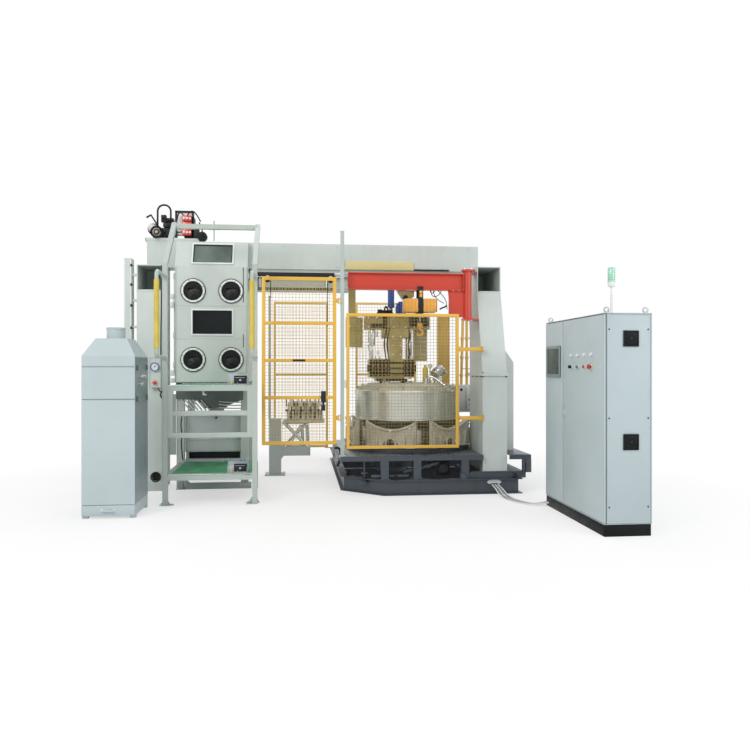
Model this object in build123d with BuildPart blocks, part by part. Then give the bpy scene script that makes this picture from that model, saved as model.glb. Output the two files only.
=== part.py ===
from build123d import *
import os
from math import atan2, cos, degrees, radians, sin

# A low-pressure die casting machine with its operator cabin, sand and dust collector and control
# cabinet.  Millimetres, +Z up, ground at Z = 0, the operator's side towards -Y.
# The origin is on the ground in the middle of the whole layout.

# Steel base under the casting station
base_left, base_right = 10, 2390
base_front, base_rear = -715, 3144
base_chamfer_x, base_chamfer_y = 535, 485
base_height = 200
base_flange_width, base_flange, base_web = 100, 12, 10
deck_left, deck_right = -20, 2514
deck_front, deck_rear = -690, 1500
deck_bottom, deck_top = 448, 508
deck_plate = 8
deck_notch = 12
deck_post_width = 100
deck_post_xs = (560, 987, 1622)
plinth_left, plinth_right = 1678, 2450
plinth_top = 276

# Columns
column_width = 330
column_wall = 12
column_top = 3050
mouth_height = 326
right_column_left = 1880
right_column_front, right_column_rear = -610, 120
column_joint = 1570
joint_plate, joint_overhang = 20, 18
head_front, head_bottom = -300, 2700
head_rear = 590
left_column_left, left_column_front = -2718, -20
service_hole_radius, service_hole_z = 60, 190
side_box_right, side_box_front, side_box_rear = 2440, -150, 590
side_box_top, side_box_shoulder, side_box_shoulder_x = 1970, 1736, 2273
track_left, track_right = -2882, -2785
track_bottom, track_top, track_depth = 1850, 3130, 150
track_clip, column_knee = 30, 2350

# Beams between the columns
beam_left, beam_right = -2638, 2028
beam_front, beam_height = 240, 364
rail_height, rail_gap = 40, 18
lower_beam_left, lower_beam_right = -1240, 157
lower_beam_bottom, lower_beam_top = 2758, 2950
tray_overhang, tray_right, tray_height = 20, -1930, 40

# Hydraulic unit on the left end of the beam
motor_x, motor_radius, motor_length = -2507, 77, 300
valve_left, valve_right, valve_height = -2149, -2014, 318
fitting_left, fitting_right, fitting_height = -2418, -2300, 300
reel_x, reel_z, reel_radius, reel_width = -1893, 3488, 68, 70
hose_radius, hose_left, hose_right, hose_top, hose_y = 13, -2525, -2345, 3962, 400

# Operator cabin
cabin_left, cabin_right = -2221, -1252
cabin_front_y, cabin_rear = 0, 1200
cabin_bottom, cabin_bend = 1460, 3040
cabin_rise, cabin_lean, roof_gap = 360, 150, 10
cabin_wall = 20
port_xs = (-1978, -1471)
port_zs = (1772, 2705)
port_radius, ring_radius, ring_depth = 130, 168, 14
window_left, window_right = -1985, -1458
window_bottom, window_top = 2119, 2440
window_frame, glass_depth = 20, 6
upper_window_bottom, upper_window_length = 52, 285
cabin_leg = 100
hopper_bottom, hopper_mouth = 1085, 260
bin_left, bin_right, bin_front = -2110, -1230, 150
bin_bottom, bin_top, bin_depth = 352, 987, 800
bin_slot_bottom, bin_slot_top, bin_slot_depth = 393, 490, 60

# Operator platforms and portal frame
tube = 60
leg_left, leg_right = -2155, -1086
portal_front = -1070
portal_bend, portal_top, portal_top_y = 2912, 3522, -403
lower_step_top, lower_step_rear = 360, 130
upper_step_top = 1440
step_edge = 60
mat_thickness, mat_inset = 6, 22
ladder_mid, ladder_low = 1110, 844
foot_size, foot_plate = 130, 10
rail_out, grip_radius = 490, 22.5
grip_low, grip_high, grip_bend = 1790, 2765, 60
pedal_x, pedal_width, pedal_depth, pedal_height = -1299, 236, 240, 140
gauge_left, gauge_right, gauge_depth = -2530, -2390, 80
gauge_bottom, gauge_top = 1400, 1795
dial_radius, dial_z, knob_radius, knob_z = 52, 1673, 20, 1461

# Guards
post_left, post_side, post_top = -14, 47, 3433
post_front = -640
guard_depth = 40
mid_gate_left, mid_gate_right = -1024, -69
mid_gate_bottom, mid_gate_top = 668, 2832
mid_gate_bar = 45
mid_gate_rails = (1276, 1755, 2236)
front_gate_left, front_gate_right = 62, 1550
front_gate_bottom, front_gate_top = 605, 2370
front_gate_bar = 40
arm_zs = (996, 1907)
arm_height, arm_thickness = 50, 12
mid_hinge_zs = (1010, 2530)
lug_height, lug_gap = 8, 1
pin_radius, pin_clearance = 6, 0.05
front_hinge_x, mid_hinge_x, hinge_y = 1852, -42, -620
wire, wire_pitch = 5, 160
fence_bottom, fence_top, fence_seat = 214, 2855, 60
fence_panels = ((-1009, -28), (474, 1600))
fence_bar, fence_foot, fence_pitch = 40, 110, 220

# Jib crane and hoist
mast_x, mast_y, mast_radius = 1705, -460, 57
mast_bottom, mast_top = 2325, 2955
boom_tip, boom_bottom, boom_height = 103, 2695, 225
boom_width, boom_flange, boom_web = 110, 12, 8
knee_length, knee_bottom, knee_thickness = 190, 2350, 24
pivot_radius, pivot_depth = 20, 60
bracket_plate, bracket_reach = 24, 120
bracket_gap = 0.3
hoist_x, hoist_gap = 1056, 62
motor_box_length, motor_box_bottom, motor_box_top = 182, 2397, 2578
motor_box_depth, motor_box_round = 190, 45
trolley_plate, trolley_height, trolley_length = 10, 170, 150
wheel_radius, wheel_width = 28, 22
chain_radius, chain_clearance, chain_top = 9, 0.05, 2600
hook_block_top, hook_block_height, hook_block_radius = 2262, 62, 34
hook_radius, hook_wire, hook_mouth = 40, 13, 30

# Casting furnace
furnace_x, furnace_y = 1021, 440
furnace_radius, furnace_foot_radius = 760, 640
furnace_bottom, furnace_shoulder, furnace_rim = 800, 930, 1347
lid_radius, lid_top = 700, 1440
saddle_count, saddle_turn = 6, -24
saddle_distance, saddle_thickness, saddle_width = 780, 50, 700
saddle_tip, saddle_arc_drop, saddle_arch = 940, 110, 115
step_radius, step_height = 900, 72
bowl_x, bowl_y, bowl_radius, bowl_depth = 724, -60, 350, 250
screw_x, screw_y, screw_radius, screw_pad = 310, -500, 16, 45
bottle_x, bottle_y, bottle_radius, bottle_height = 1250, 200, 40, 260
blower_x, blower_y, blower_radius, blower_length = 1450, 250, 85, 190

# Manipulator over the furnace
carriage_left, carriage_right, carriage_bottom = 620, 1250, 2830
carriage_front, carriage_rear = 332, 580
gusset_left, gusset_right, gusset_bottom = 860, 1130, 2671
frame_left, frame_right, frame_bottom, frame_top = 400, 1325, 2217, 2406
barrel_x, barrel_y, barrel_radius, barrel_bottom = 785, 440, 45, 2540
rod_radius, guide_radius, rod_clearance = 25, 22, 0.05
rod_top = 2690
guide_x, guide_y = 1000, 520
ram_x, ram_y, ram_radius, ram_top = 925, 380, 34, 2610
crown_left, crown_right, crown_bottom, crown_front = 655, 1008, 2091, 270
clamp_y, clamp_radius, clamp_rod = 330, 34, 14
clamp_xs, clamp_bottoms = (500, 1020), (1983, 1760)
side_plate_left, side_plate_front, side_plate_bottom = 1130, 500, 1760
drop_left, drop_right, drop_front, drop_bottom = 170, 273, 520, 1960
drop_plate_left, drop_plate_right, drop_plate_top = 130, 380, 2400
spine_left, spine_right, spine_bottom = 760, 930, 1550
jaw_left, jaw_right, jaw_bottom, jaw_top = 457, 1102, 1522, 1783
jaw_foot_left, jaw_foot_right, jaw_foot_bottom = 556, 1000, 1462
jaw_front, jaw_rear = 260, 620

# Feed column and its pipes behind the furnace
feed_left, feed_right, feed_front, feed_rear, feed_top, feed_foot = 1630, 1813, 1190, 1270, 2465, 40
feed_box_left, feed_box_right, feed_box_front, feed_box_rear = 1775, 2200, 1000, 1180
feed_box_bottom, feed_box_top, feed_leg = 975, 1393, 60
pipe_x, pipe_radius, pipe_top, pipe_spread = 2070, 22, 2423, 180

# Core setting table behind the middle gate
stand_left, stand_right, stand_front, stand_depth, stand_top = -1011, -828, 1200, 180, 868
stand_foot, stand_foot_plate = 60, 14
arm_right, arm_bottom, arm_top = -381, 305, 430
table_left, table_right, table_bottom, table_top = -790, -165, 810, 860
scissor_bar = 40
fixture_left, fixture_right, fixture_height = -740, -200, 280

# Control cabinet
cabinet_left, cabinet_right = 2427, 2920
cabinet_front, cabinet_rear = -3134, -1494
cabinet_height, plinth_height = 2200, 120
cabinet_wall, door_thickness, door_gap = 12, 20, 8
door_split = -2055
door_pin_radius, door_pin_length, door_pin_inset = 4, 20, 10
screen_front, screen_rear, screen_bottom, screen_top = -1989, -1555, 1557, 1910
screen_depth = 8
button_radius, button_depth, button_pitch = 14, 22, 176
button_first, button_zs = -2844, (1672, 1797)
vent_x, vent_side, vent_depth, vent_zs = 2701, 148, 10, (930, 1950)
eye_radius, eye_wire, eye_inset = 24, 6, 45
tower_x, tower_y = 2670, -2770
tower_pole, tower_pole_height = 10, 300
tower_radius, tower_base, tower_lens = 37, 45, 155

# Dust collector
dust_left, dust_right = -2920, -2350
dust_front, dust_rear = -1746, -1094
dust_foot, dust_seam_low, dust_seam_high = 30, 1314, 1675
dust_shoulder, dust_hood_top = 1790, 1990
dust_seam, dust_seam_inset = 4, 5
hood_top_width, hood_top_depth = 339, 390
outlet_radius, outlet_height, outlet_wall = 100, 130, 4
drawer_height, drawer_gap, drawer_wall, drawer_depth = 117, 5, 8, 560
handle_width, handle_reach, handle_wire, handle_bend = 130, 30, 6, 14
dust_foot_side = 60

# Cables on the floor between the base and the control cabinet
cable_diameter, cable_count, cable_pitch = 16, 5, 20
cable_left, cable_z = 1976, 124

os.makedirs("parts", exist_ok=True)
finished = []


def keep(builder, name):
    """Label a finished piece and put it on the list that is written at the end."""
    builder.part.label = name
    finished.append((builder.part, name))


def block(x, y, z, mode=Mode.ADD):
    """A block between a low and a high value along X, Y and Z."""
    with Locations((x[0], y[0], z[0])):
        Box(x[1] - x[0], y[1] - y[0], z[1] - z[0], align=(Align.MIN,) * 3, mode=mode)


def rod(start, end, radius, mode=Mode.ADD):
    """A round bar between two points."""
    run = Vector(*end) - Vector(*start)
    with Locations(Plane(origin=start, z_dir=run)):
        Cylinder(radius, run.length, align=(Align.CENTER, Align.CENTER, Align.MIN), mode=mode)


def facing(y):
    """An upright plane at y that faces the operator, with X to the right and Z up."""
    return Plane(origin=(0, y, 0), x_dir=(1, 0, 0), z_dir=(0, -1, 0))


def side_on(x):
    """An upright plane at x, with Y to the right and Z up."""
    return Plane(origin=(x, 0, 0), x_dir=(0, 1, 0), z_dir=(1, 0, 0))


def plate_profile(plane, points, thickness, mode=Mode.ADD):
    """A flat plate with a many-sided outline."""
    with BuildSketch(plane, mode=Mode.PRIVATE) as outline:
        with BuildLine():
            Polyline(*points, close=True)
        make_face()
    extrude(outline.sketch, amount=thickness, mode=mode)


def funnel(middle, z, low, high):
    """A solid with flat sloping sides between a low and a high rectangle."""
    with BuildPart(mode=Mode.PRIVATE) as sides:
        for plane, at, reach, index in ((facing(middle[1] - max(low[1], high[1]) / 2), middle[0], (low[1], high[1]), 0),
                                        (side_on(middle[0] - max(low[0], high[0]) / 2), middle[1],
                                         (low[0], high[0]), 1)):
            plate_profile(plane, ((at - low[index] / 2, z[0]), (at + low[index] / 2, z[0]),
                                  (at + high[index] / 2, z[1]), (at - high[index] / 2, z[1])),
                          max(reach) if index else -max(reach), mode=Mode.INTERSECT if index else Mode.ADD)
    add(sides.part)


def open_frame(x, z, y, bar, depth, rails=()):
    """A welded frame of square tube round an opening, with cross rails at the given heights."""
    with BuildSketch(facing(y), mode=Mode.PRIVATE) as outline:
        with Locations(((x[0] + x[1]) / 2, (z[0] + z[1]) / 2)):
            Rectangle(x[1] - x[0], z[1] - z[0])
            Rectangle(x[1] - x[0] - 2 * bar, z[1] - z[0] - 2 * bar, mode=Mode.SUBTRACT)
        for rail in rails:
            with Locations(((x[0] + x[1]) / 2, rail)):
                Rectangle(x[1] - x[0] - 2 * bar, bar)
    extrude(outline.sketch, amount=-depth)


def wire_panel(x, z, y, pitch=wire_pitch):
    """A flat grid of welded wire that fills the rectangle from edge to edge."""
    across = max(1, round((x[1] - x[0]) / pitch))
    up = max(1, round((z[1] - z[0]) / pitch))
    step_x, step_z = (x[1] - x[0]) / across, (z[1] - z[0]) / up
    with BuildSketch(facing(y), mode=Mode.PRIVATE) as outline:
        with Locations(((x[0] + x[1]) / 2, (z[0] + z[1]) / 2)):
            Rectangle(x[1] - x[0], z[1] - z[0])
            with GridLocations(step_x, step_z, across, up):
                Rectangle(step_x - wire, step_z - wire, mode=Mode.SUBTRACT)
    extrude(outline.sketch, amount=-wire)


def cable_route(points):
    """Straight runs joined by arcs as large as the two runs at each point allow."""
    path = [Vector(*p) for p in points]
    radii = []
    for before, here, after in zip(path, path[1:], path[2:]):
        shorter = min((here - before).length, (after - here).length)
        turn = radians((here - before).get_angle(after - here))
        radii.append(0.45 * shorter * cos(turn / 2) / sin(turn / 2))
    print("cable radii", [round(r) for r in radii])
    return path, radii


def base_outline(inset):
    """The outline of the base, moved inwards."""
    corners = ((base_left, base_front + base_chamfer_y), (base_left + base_chamfer_x, base_front),
               (base_right, base_front), (base_right, base_rear), (base_left, base_rear))
    with BuildSketch(mode=Mode.PRIVATE) as outline:
        with BuildLine():
            Polyline(*corners, close=True)
        make_face()
        if inset:
            offset(amount=-inset, kind=Kind.INTERSECTION, mode=Mode.REPLACE)
    return outline.sketch


# Base: an I-section ring, the plinth of the right column, the deck on its posts
with BuildPart() as base_frame:
    web_inset = (base_flange_width - base_web) / 2
    for low, high, outer, inner in (
            (0, base_flange, 0, base_flange_width),
            (base_flange, base_height - base_flange, web_inset, base_flange_width - web_inset),
            (base_height - base_flange, base_height, 0, base_flange_width)):
        with BuildSketch(Plane.XY.offset(low)):
            add(base_outline(outer))
            add(base_outline(inner), mode=Mode.SUBTRACT)
        extrude(amount=high - low)
    for cross_y in (furnace_y - base_flange_width / 2, deck_rear - base_flange_width):
        block((base_left + base_flange_width - web_inset, base_right - base_flange_width + web_inset),
              (cross_y, cross_y + base_flange_width), (0, base_height))
    block((plinth_left, plinth_right), (right_column_front - 50, right_column_rear + 50),
          (base_height, plinth_top))
    block((plinth_left + 40, plinth_right - 40), (right_column_front - 10, right_column_rear + 10),
          (base_height, plinth_top - base_flange), mode=Mode.SUBTRACT)
    rod((screw_x, screw_y, base_height - 60), (screw_x, screw_y, deck_top - deck_plate), screw_radius)
    for pad_z in (base_height - 60, base_height + 60):
        rod((screw_x, screw_y, pad_z), (screw_x, screw_y, pad_z + 24), screw_pad)
keep(base_frame, "base_frame")

right_column_right = right_column_left + column_width
notch_left = right_column_left - deck_notch
notch_right = right_column_right + deck_notch
with BuildPart() as deck:
    block((deck_left, deck_right), (deck_front, deck_rear), (deck_bottom, deck_top))
    block((deck_left + 20, deck_right - 20), (deck_front + 20, deck_rear - 20),
          (deck_bottom, deck_top - deck_plate), mode=Mode.SUBTRACT)
    block((notch_left, notch_right), (deck_front, right_column_rear + deck_notch),
          (deck_bottom, deck_top), mode=Mode.SUBTRACT)
    for post_x in deck_post_xs:
        for post_y in (deck_front, deck_rear - deck_post_width):
            block((post_x - deck_post_width / 2, post_x + deck_post_width / 2),
                  (post_y, post_y + deck_post_width), (base_height, deck_top - deck_plate))
    block((deck_right - 64, deck_right), (deck_front, deck_front + deck_post_width),
          (plinth_top, deck_top - deck_plate))
    for share, low, high in ((1, 0.4, 0), (0.9, 0.75, 0.4), (0.66, 1, 0.75)):
        with Locations((bowl_x, bowl_y, deck_top - deck_plate - low * bowl_depth)):
            Cone(share * bowl_radius - 24, share * bowl_radius, (low - high) * bowl_depth,
                 align=(Align.CENTER, Align.CENTER, Align.MIN))
    with Locations((furnace_x, furnace_y, deck_top)):
        Cylinder(step_radius, step_height, align=(Align.CENTER, Align.CENTER, Align.MIN))
    chamfer(deck.faces().sort_by(Axis.Z)[-1].edges(), length=14)
keep(deck, "deck")

# Furnace: a stainless drum on six saddle castings, with its lid
step_top = deck_top + step_height
with BuildPart() as saddles:
    with BuildSketch(facing(-saddle_distance)) as saddle_outline:
        with BuildLine():
            half = saddle_width / 2
            Polyline((half, saddle_tip), (half, step_top), (-half, step_top), (-half, saddle_tip))
            ThreePointArc((-half, saddle_tip), (0, saddle_tip - saddle_arc_drop), (half, saddle_tip))
        make_face()
        with Locations((0, step_top)):
            Circle(saddle_arch, mode=Mode.SUBTRACT)
    one_saddle = extrude(saddle_outline.sketch, amount=saddle_thickness, mode=Mode.PRIVATE)
    for index in range(saddle_count):
        turn = saddle_turn + index * 360 / saddle_count
        add(Location((furnace_x, furnace_y, 0), (0, 0, turn)) * one_saddle)
keep(saddles, "saddles")

with BuildPart() as furnace_drum:
    with BuildSketch(Plane(origin=(furnace_x, furnace_y, 0), x_dir=(1, 0, 0), z_dir=(0, -1, 0))):
        with BuildLine():
            Polyline((0, step_top), (furnace_foot_radius, step_top), (furnace_foot_radius, furnace_bottom),
                     (furnace_radius, furnace_shoulder), (furnace_radius, furnace_rim),
                     (0, furnace_rim), close=True)
        make_face()
    revolve(axis=Axis((furnace_x, furnace_y, 0), (0, 0, 1)))
keep(furnace_drum, "furnace_drum")

with BuildPart() as furnace_lid:
    with Locations((furnace_x, furnace_y, furnace_rim)):
        Cylinder(lid_radius, 35, align=(Align.CENTER, Align.CENTER, Align.MIN))
        Cylinder(lid_radius - 90, lid_top - furnace_rim, align=(Align.CENTER, Align.CENTER, Align.MIN))
    chamfer(furnace_lid.faces().sort_by(Axis.Z)[-1].edges(), length=30)
keep(furnace_lid, "furnace_lid")

with BuildPart() as lid_fittings:
    rod((bottle_x, bottle_y, lid_top), (bottle_x, bottle_y, lid_top + bottle_height), bottle_radius)
    chamfer(lid_fittings.faces().sort_by(Axis.Z)[-1].edges(), length=bottle_radius * 0.5)
    rod((blower_x, blower_y, lid_top), (blower_x, blower_y, furnace_rim + 200), 30)
    rod((blower_x - 70, blower_y - 40, furnace_rim + 190),
        (blower_x + 70, blower_y + 40, furnace_rim + 290), blower_radius)
keep(lid_fittings, "lid_fittings")

# Columns
with BuildPart() as right_column_lower:
    block((right_column_left, right_column_right), (right_column_front, right_column_rear),
          (plinth_top, column_joint))
    block((right_column_left - joint_overhang, right_column_right + joint_overhang),
          (right_column_front - joint_overhang, right_column_rear + joint_overhang),
          (column_joint - joint_plate, column_joint))
keep(right_column_lower, "right_column_lower")

with BuildPart() as right_column_upper:
    plate_profile(side_on(right_column_left),
                  ((right_column_front, column_joint), (right_column_rear, column_joint),
                   (right_column_rear, column_knee), (head_rear, head_bottom), (head_rear, column_top),
                   (head_front, column_top), (head_front, head_bottom)), column_width)
    block((right_column_left - joint_overhang, right_column_right + joint_overhang),
          (right_column_front - joint_overhang, right_column_rear + joint_overhang),
          (column_joint, column_joint + joint_plate))
    block((right_column_left + column_wall, right_column_right - column_wall),
          (head_front, head_rear - column_wall),
          (column_top - column_wall - mouth_height, column_top - column_wall), mode=Mode.SUBTRACT)
keep(right_column_upper, "right_column_upper")

with BuildPart() as right_side_box:
    plate_profile(facing(side_box_rear),
                  ((right_column_right, deck_top), (side_box_right, deck_top),
                   (side_box_right, side_box_shoulder), (side_box_shoulder_x, side_box_top),
                   (right_column_right, side_box_top)), side_box_rear - side_box_front)
    block((right_column_left, right_column_right + joint_overhang),
          (side_box_front, side_box_rear), (0, side_box_top), mode=Mode.SUBTRACT)
keep(right_side_box, "right_side_box")

left_column_right = left_column_left + column_width
with BuildPart() as left_column:
    block((left_column_left, left_column_right), (left_column_front, head_rear), (0, column_top))
    block((left_column_left + column_wall, left_column_right - column_wall),
          (left_column_front, head_rear - column_wall),
          (column_top - column_wall - mouth_height, column_top - column_wall), mode=Mode.SUBTRACT)
    rod((left_column_right - 80, left_column_front, service_hole_z),
        (left_column_right - 80, left_column_front + 80, service_hole_z), service_hole_radius,
        mode=Mode.SUBTRACT)
    block((track_left, track_right), (left_column_front, left_column_front + track_depth),
          (track_bottom, track_top))
    for share in (0.04, 0.27, 0.55, 0.82):
        clip_z = track_bottom + share * (track_top - track_bottom)
        block((track_right, left_column_left), (left_column_front + 30, left_column_front + 90),
              (clip_z, clip_z + track_clip))
keep(left_column, "left_column")

# Beams
beam_rear = head_rear
with BuildPart() as cross_beam:
    block((beam_left, beam_right), (beam_front, beam_rear), (column_top, column_top + beam_height))
keep(cross_beam, "cross_beam")

with BuildPart() as beam_rails:
    rail_ends = (left_column_right + 1, right_column_left - 1)
    for rail_low in (column_top - rail_height, column_top - 2 * rail_height - rail_gap):
        block((cabin_right + 20, rail_ends[1]), (beam_front + 20, beam_front + 60),
              (rail_low, rail_low + rail_height))
    for hanger in (-900, 100, 1200, 1750):
        block((hanger, hanger + 40), (beam_front + 60, beam_front + 90),
              (column_top - 2 * rail_height - rail_gap, column_top))
    block((lower_beam_left, lower_beam_right), (beam_front + 90, beam_rear),
          (lower_beam_bottom, lower_beam_top))
    for hanger in (lower_beam_left, lower_beam_right - 60):
        block((hanger, hanger + 60), (beam_front + 100, beam_rear - 20), (lower_beam_top, column_top))
keep(beam_rails, "beam_rails")

# Hydraulic unit
beam_top = column_top + beam_height
tray_top = beam_top + tray_height
with BuildPart() as hydraulic_unit:
    block((beam_left - tray_overhang, tray_right),
          (beam_front, beam_rear + tray_overhang), (beam_top, tray_top))
    fillet(hydraulic_unit.edges().filter_by(Axis.Z), radius=15)
    motor_z = tray_top + motor_radius + 6
    rod((motor_x, beam_front + 10, motor_z), (motor_x, beam_front + 10 + motor_length, motor_z),
        motor_radius)
    block((motor_x - 60, motor_x + 60), (beam_front + 60, beam_front + 240), (tray_top, motor_z))
    block((valve_left, valve_right), (330, 480), (tray_top, tray_top + valve_height))
    block((fitting_left, fitting_right), (330, 450), (tray_top, tray_top + fitting_height))
    rod((reel_x, beam_front, reel_z), (reel_x, beam_front + reel_width, reel_z), reel_radius)
    block((tray_right - 80, reel_x + 20), (beam_front + 20, beam_front + 50), (tray_top, tray_top + 20))
    with BuildLine() as hose:
        FilletPolyline((hose_left, hose_y, motor_z), (hose_left, hose_y, hose_top - hose_radius),
                       (hose_right, hose_y, hose_top - hose_radius),
                       (hose_right, hose_y, tray_top + fitting_height - 10),
                       radius=(hose_right - hose_left) * 0.49)
    with BuildSketch(Plane(origin=hose.line @ 0, z_dir=hose.line % 0)):
        Circle(hose_radius)
    sweep(path=hose.line)
keep(hydraulic_unit, "hydraulic_unit")

# Operator cabin: walls, front with four glove ports and two windows, hopper and legs
cabin_neck, cabin_roof, cabin_top = beam_front, column_top - roof_gap, cabin_bend + cabin_rise
with BuildPart() as cabin_walls:
    profile = ((cabin_front_y + cabin_wall, cabin_bottom), (cabin_rear, cabin_bottom),
               (cabin_rear, cabin_roof), (cabin_neck, cabin_roof), (cabin_neck, cabin_top),
               (cabin_lean + cabin_wall, cabin_top), (cabin_front_y + cabin_wall, cabin_bend))
    plate_profile(side_on(cabin_left), profile, cabin_right - cabin_left)
    inner = ((cabin_front_y, cabin_bottom), (cabin_rear - cabin_wall, cabin_bottom),
             (cabin_rear - cabin_wall, cabin_roof - cabin_wall),
             (cabin_neck - cabin_wall, cabin_roof - cabin_wall),
             (cabin_neck - cabin_wall, cabin_top - cabin_wall), (cabin_lean, cabin_top - cabin_wall),
             (cabin_front_y, cabin_bend))
    plate_profile(side_on(cabin_left + cabin_wall), inner,
                  cabin_right - cabin_left - 2 * cabin_wall, mode=Mode.SUBTRACT)
keep(cabin_walls, "cabin_walls")

lean_plane = Plane(origin=(0, cabin_front_y, cabin_bend), x_dir=(1, 0, 0),
                   z_dir=(0, cabin_bend - cabin_top, cabin_lean))
window_middle = ((window_left + window_right) / 2, (window_bottom + window_top) / 2)
window_size = (window_right - window_left, window_top - window_bottom)
upper_middle = (window_middle[0], upper_window_bottom + upper_window_length / 2)
with BuildPart() as cabin_front:
    plate_profile(side_on(cabin_left),
                  ((cabin_front_y, cabin_bottom), (cabin_front_y + cabin_wall, cabin_bottom),
                   (cabin_front_y + cabin_wall, cabin_bend), (cabin_lean + cabin_wall, cabin_top),
                   (cabin_lean, cabin_top), (cabin_front_y, cabin_bend)), cabin_right - cabin_left)
    with BuildSketch(facing(cabin_front_y)) as openings:
        with Locations(*[(x, z) for x in port_xs for z in port_zs]):
            Circle(port_radius)
        with Locations(window_middle):
            Rectangle(*window_size)
    extrude(amount=-2 * cabin_wall, mode=Mode.SUBTRACT)
    with BuildSketch(facing(cabin_front_y)) as surround:
        with Locations(window_middle):
            Rectangle(window_size[0] + 2 * window_frame, window_size[1] + 2 * window_frame)
            Rectangle(*window_size, mode=Mode.SUBTRACT)
    extrude(amount=ring_depth)
    with BuildSketch(lean_plane) as upper_opening:
        with Locations(upper_middle):
            Rectangle(window_size[0], upper_window_length)
    extrude(amount=2 * cabin_wall, both=True, mode=Mode.SUBTRACT)
    with BuildSketch(lean_plane) as upper_surround:
        with Locations(upper_middle):
            Rectangle(window_size[0] + 2 * window_frame, upper_window_length + 2 * window_frame)
            Rectangle(window_size[0], upper_window_length, mode=Mode.SUBTRACT)
    extrude(amount=ring_depth)
keep(cabin_front, "cabin_front")

with BuildPart() as cabin_glass:
    with BuildSketch(facing(cabin_front_y + glass_depth)):
        with Locations(window_middle):
            Rectangle(*window_size)
    extrude(amount=-glass_depth)
    with BuildSketch(lean_plane.offset(-glass_depth)):
        with Locations(upper_middle):
            Rectangle(window_size[0], upper_window_length)
    extrude(amount=-glass_depth)
keep(cabin_glass, "cabin_glass")

with BuildPart() as glove_ports:
    for port in [(x, z) for x in port_xs for z in port_zs]:
        with BuildSketch(facing(cabin_front_y)) as ring:
            with Locations(port):
                Circle(ring_radius)
                Circle(port_radius, mode=Mode.SUBTRACT)
        extrude(amount=ring_depth)
        with BuildSketch(facing(cabin_front_y - ring_depth / 3)) as glove:
            with Locations(port):
                Circle(port_radius)
        extrude(amount=-cabin_wall - ring_depth / 3)
keep(glove_ports, "glove_ports")

cabin_middle_x = (cabin_left + cabin_right) / 2
cabin_middle_y = (cabin_front_y + cabin_rear) / 2
with BuildPart() as cabin_hopper:
    funnel((cabin_middle_x, cabin_middle_y), (hopper_bottom, cabin_bottom), (hopper_mouth, hopper_mouth),
           (cabin_right - cabin_left - 2 * cabin_leg - 2, cabin_rear - cabin_front_y))
    with Locations((cabin_middle_x, cabin_middle_y, hopper_bottom)):
        Cylinder(hopper_mouth / 2 - 20, hopper_bottom - bin_top,
                 align=(Align.CENTER, Align.CENTER, Align.MAX))
keep(cabin_hopper, "cabin_hopper")

with BuildPart() as cabin_legs:
    for leg_x in (cabin_left, cabin_right - cabin_leg):
        for leg_y in (cabin_front_y + lower_step_rear + 5, cabin_rear - cabin_leg):
            block((leg_x, leg_x + cabin_leg), (leg_y, leg_y + cabin_leg), (0, cabin_bottom))
    for beam_y in (cabin_front_y + lower_step_rear + 5, cabin_rear - cabin_leg):
        block((cabin_left, cabin_right), (beam_y, beam_y + cabin_leg), (200, 280))
keep(cabin_legs, "cabin_legs")

with BuildPart() as sand_bin:
    bin_y = (bin_front + 90, bin_front + bin_depth)
    block((cabin_left + cabin_leg + 1, cabin_right - cabin_leg - 1), bin_y, (bin_bottom, bin_top))
    block((cabin_left + cabin_leg, cabin_right - cabin_leg),
          (bin_y[0], bin_y[0] + bin_slot_depth), (bin_slot_bottom, bin_slot_top), mode=Mode.SUBTRACT)
    for rail_x in (cabin_left + cabin_leg + 1, cabin_right - cabin_leg - 41):
        block((rail_x, rail_x + 40), (cabin_front_y + lower_step_rear + 10, cabin_rear - 10),
              (280, bin_bottom))
keep(sand_bin, "sand_bin")

# Portal frame, handrails and platforms
portal_y = portal_front + tube / 2
with BuildPart() as portal_frame:
    for leg_x, start in ((leg_left, lower_step_top), (leg_right, foot_plate)):
        with BuildLine():
            Polyline((leg_x, portal_y, start), (leg_x, portal_y, portal_bend),
                     (leg_x, portal_top_y, portal_top))
        with BuildSketch(Plane(origin=(leg_x, portal_y, start), x_dir=(1, 0, 0), z_dir=(0, 0, 1))):
            Rectangle(tube, tube)
        sweep(transition=Transition.RIGHT)
    block((leg_left, leg_right), (portal_top_y - 62, portal_top_y - 2),
          (portal_top - 62, portal_top - 2))
    block((leg_right - 100, leg_right + tube / 2), (portal_front, portal_front + tube), (0, foot_plate))
keep(portal_frame, "portal_frame")

with BuildPart() as handrails:
    for rail_x in (leg_left, leg_right):
        out_y = portal_front - rail_out
        with BuildLine():
            FilletPolyline((rail_x, portal_front, grip_low), (rail_x, out_y, grip_low),
                           (rail_x, out_y, grip_high), (rail_x, portal_front, grip_high),
                           radius=grip_bend)
        with BuildSketch(Plane(origin=(rail_x, portal_front, grip_low), z_dir=(0, -1, 0))):
            Circle(grip_radius)
        sweep()
keep(handrails, "handrails")

step_x = (leg_left + tube / 2, leg_right - tube / 2)
with BuildPart() as lower_platform:
    block((leg_left - tube / 2, step_x[1]), (portal_front, lower_step_rear),
          (lower_step_top - step_edge, lower_step_top))
    block((leg_left + tube / 2, step_x[1] - tube), (portal_front + tube, lower_step_rear - tube),
          (lower_step_top - step_edge, lower_step_top - 6), mode=Mode.SUBTRACT)
    for leg_y in (portal_front, lower_step_rear - tube):
        block((leg_left - tube / 2, leg_left + tube / 2), (leg_y, leg_y + tube),
              (foot_plate, lower_step_top - step_edge))
        block((leg_left - tube / 2, leg_left + 100), (leg_y, leg_y + tube), (0, foot_plate))
    block((step_x[1] - tube, step_x[1]), (lower_step_rear - tube, lower_step_rear),
          (0, lower_step_top - step_edge))
keep(lower_platform, "lower_platform")

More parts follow.
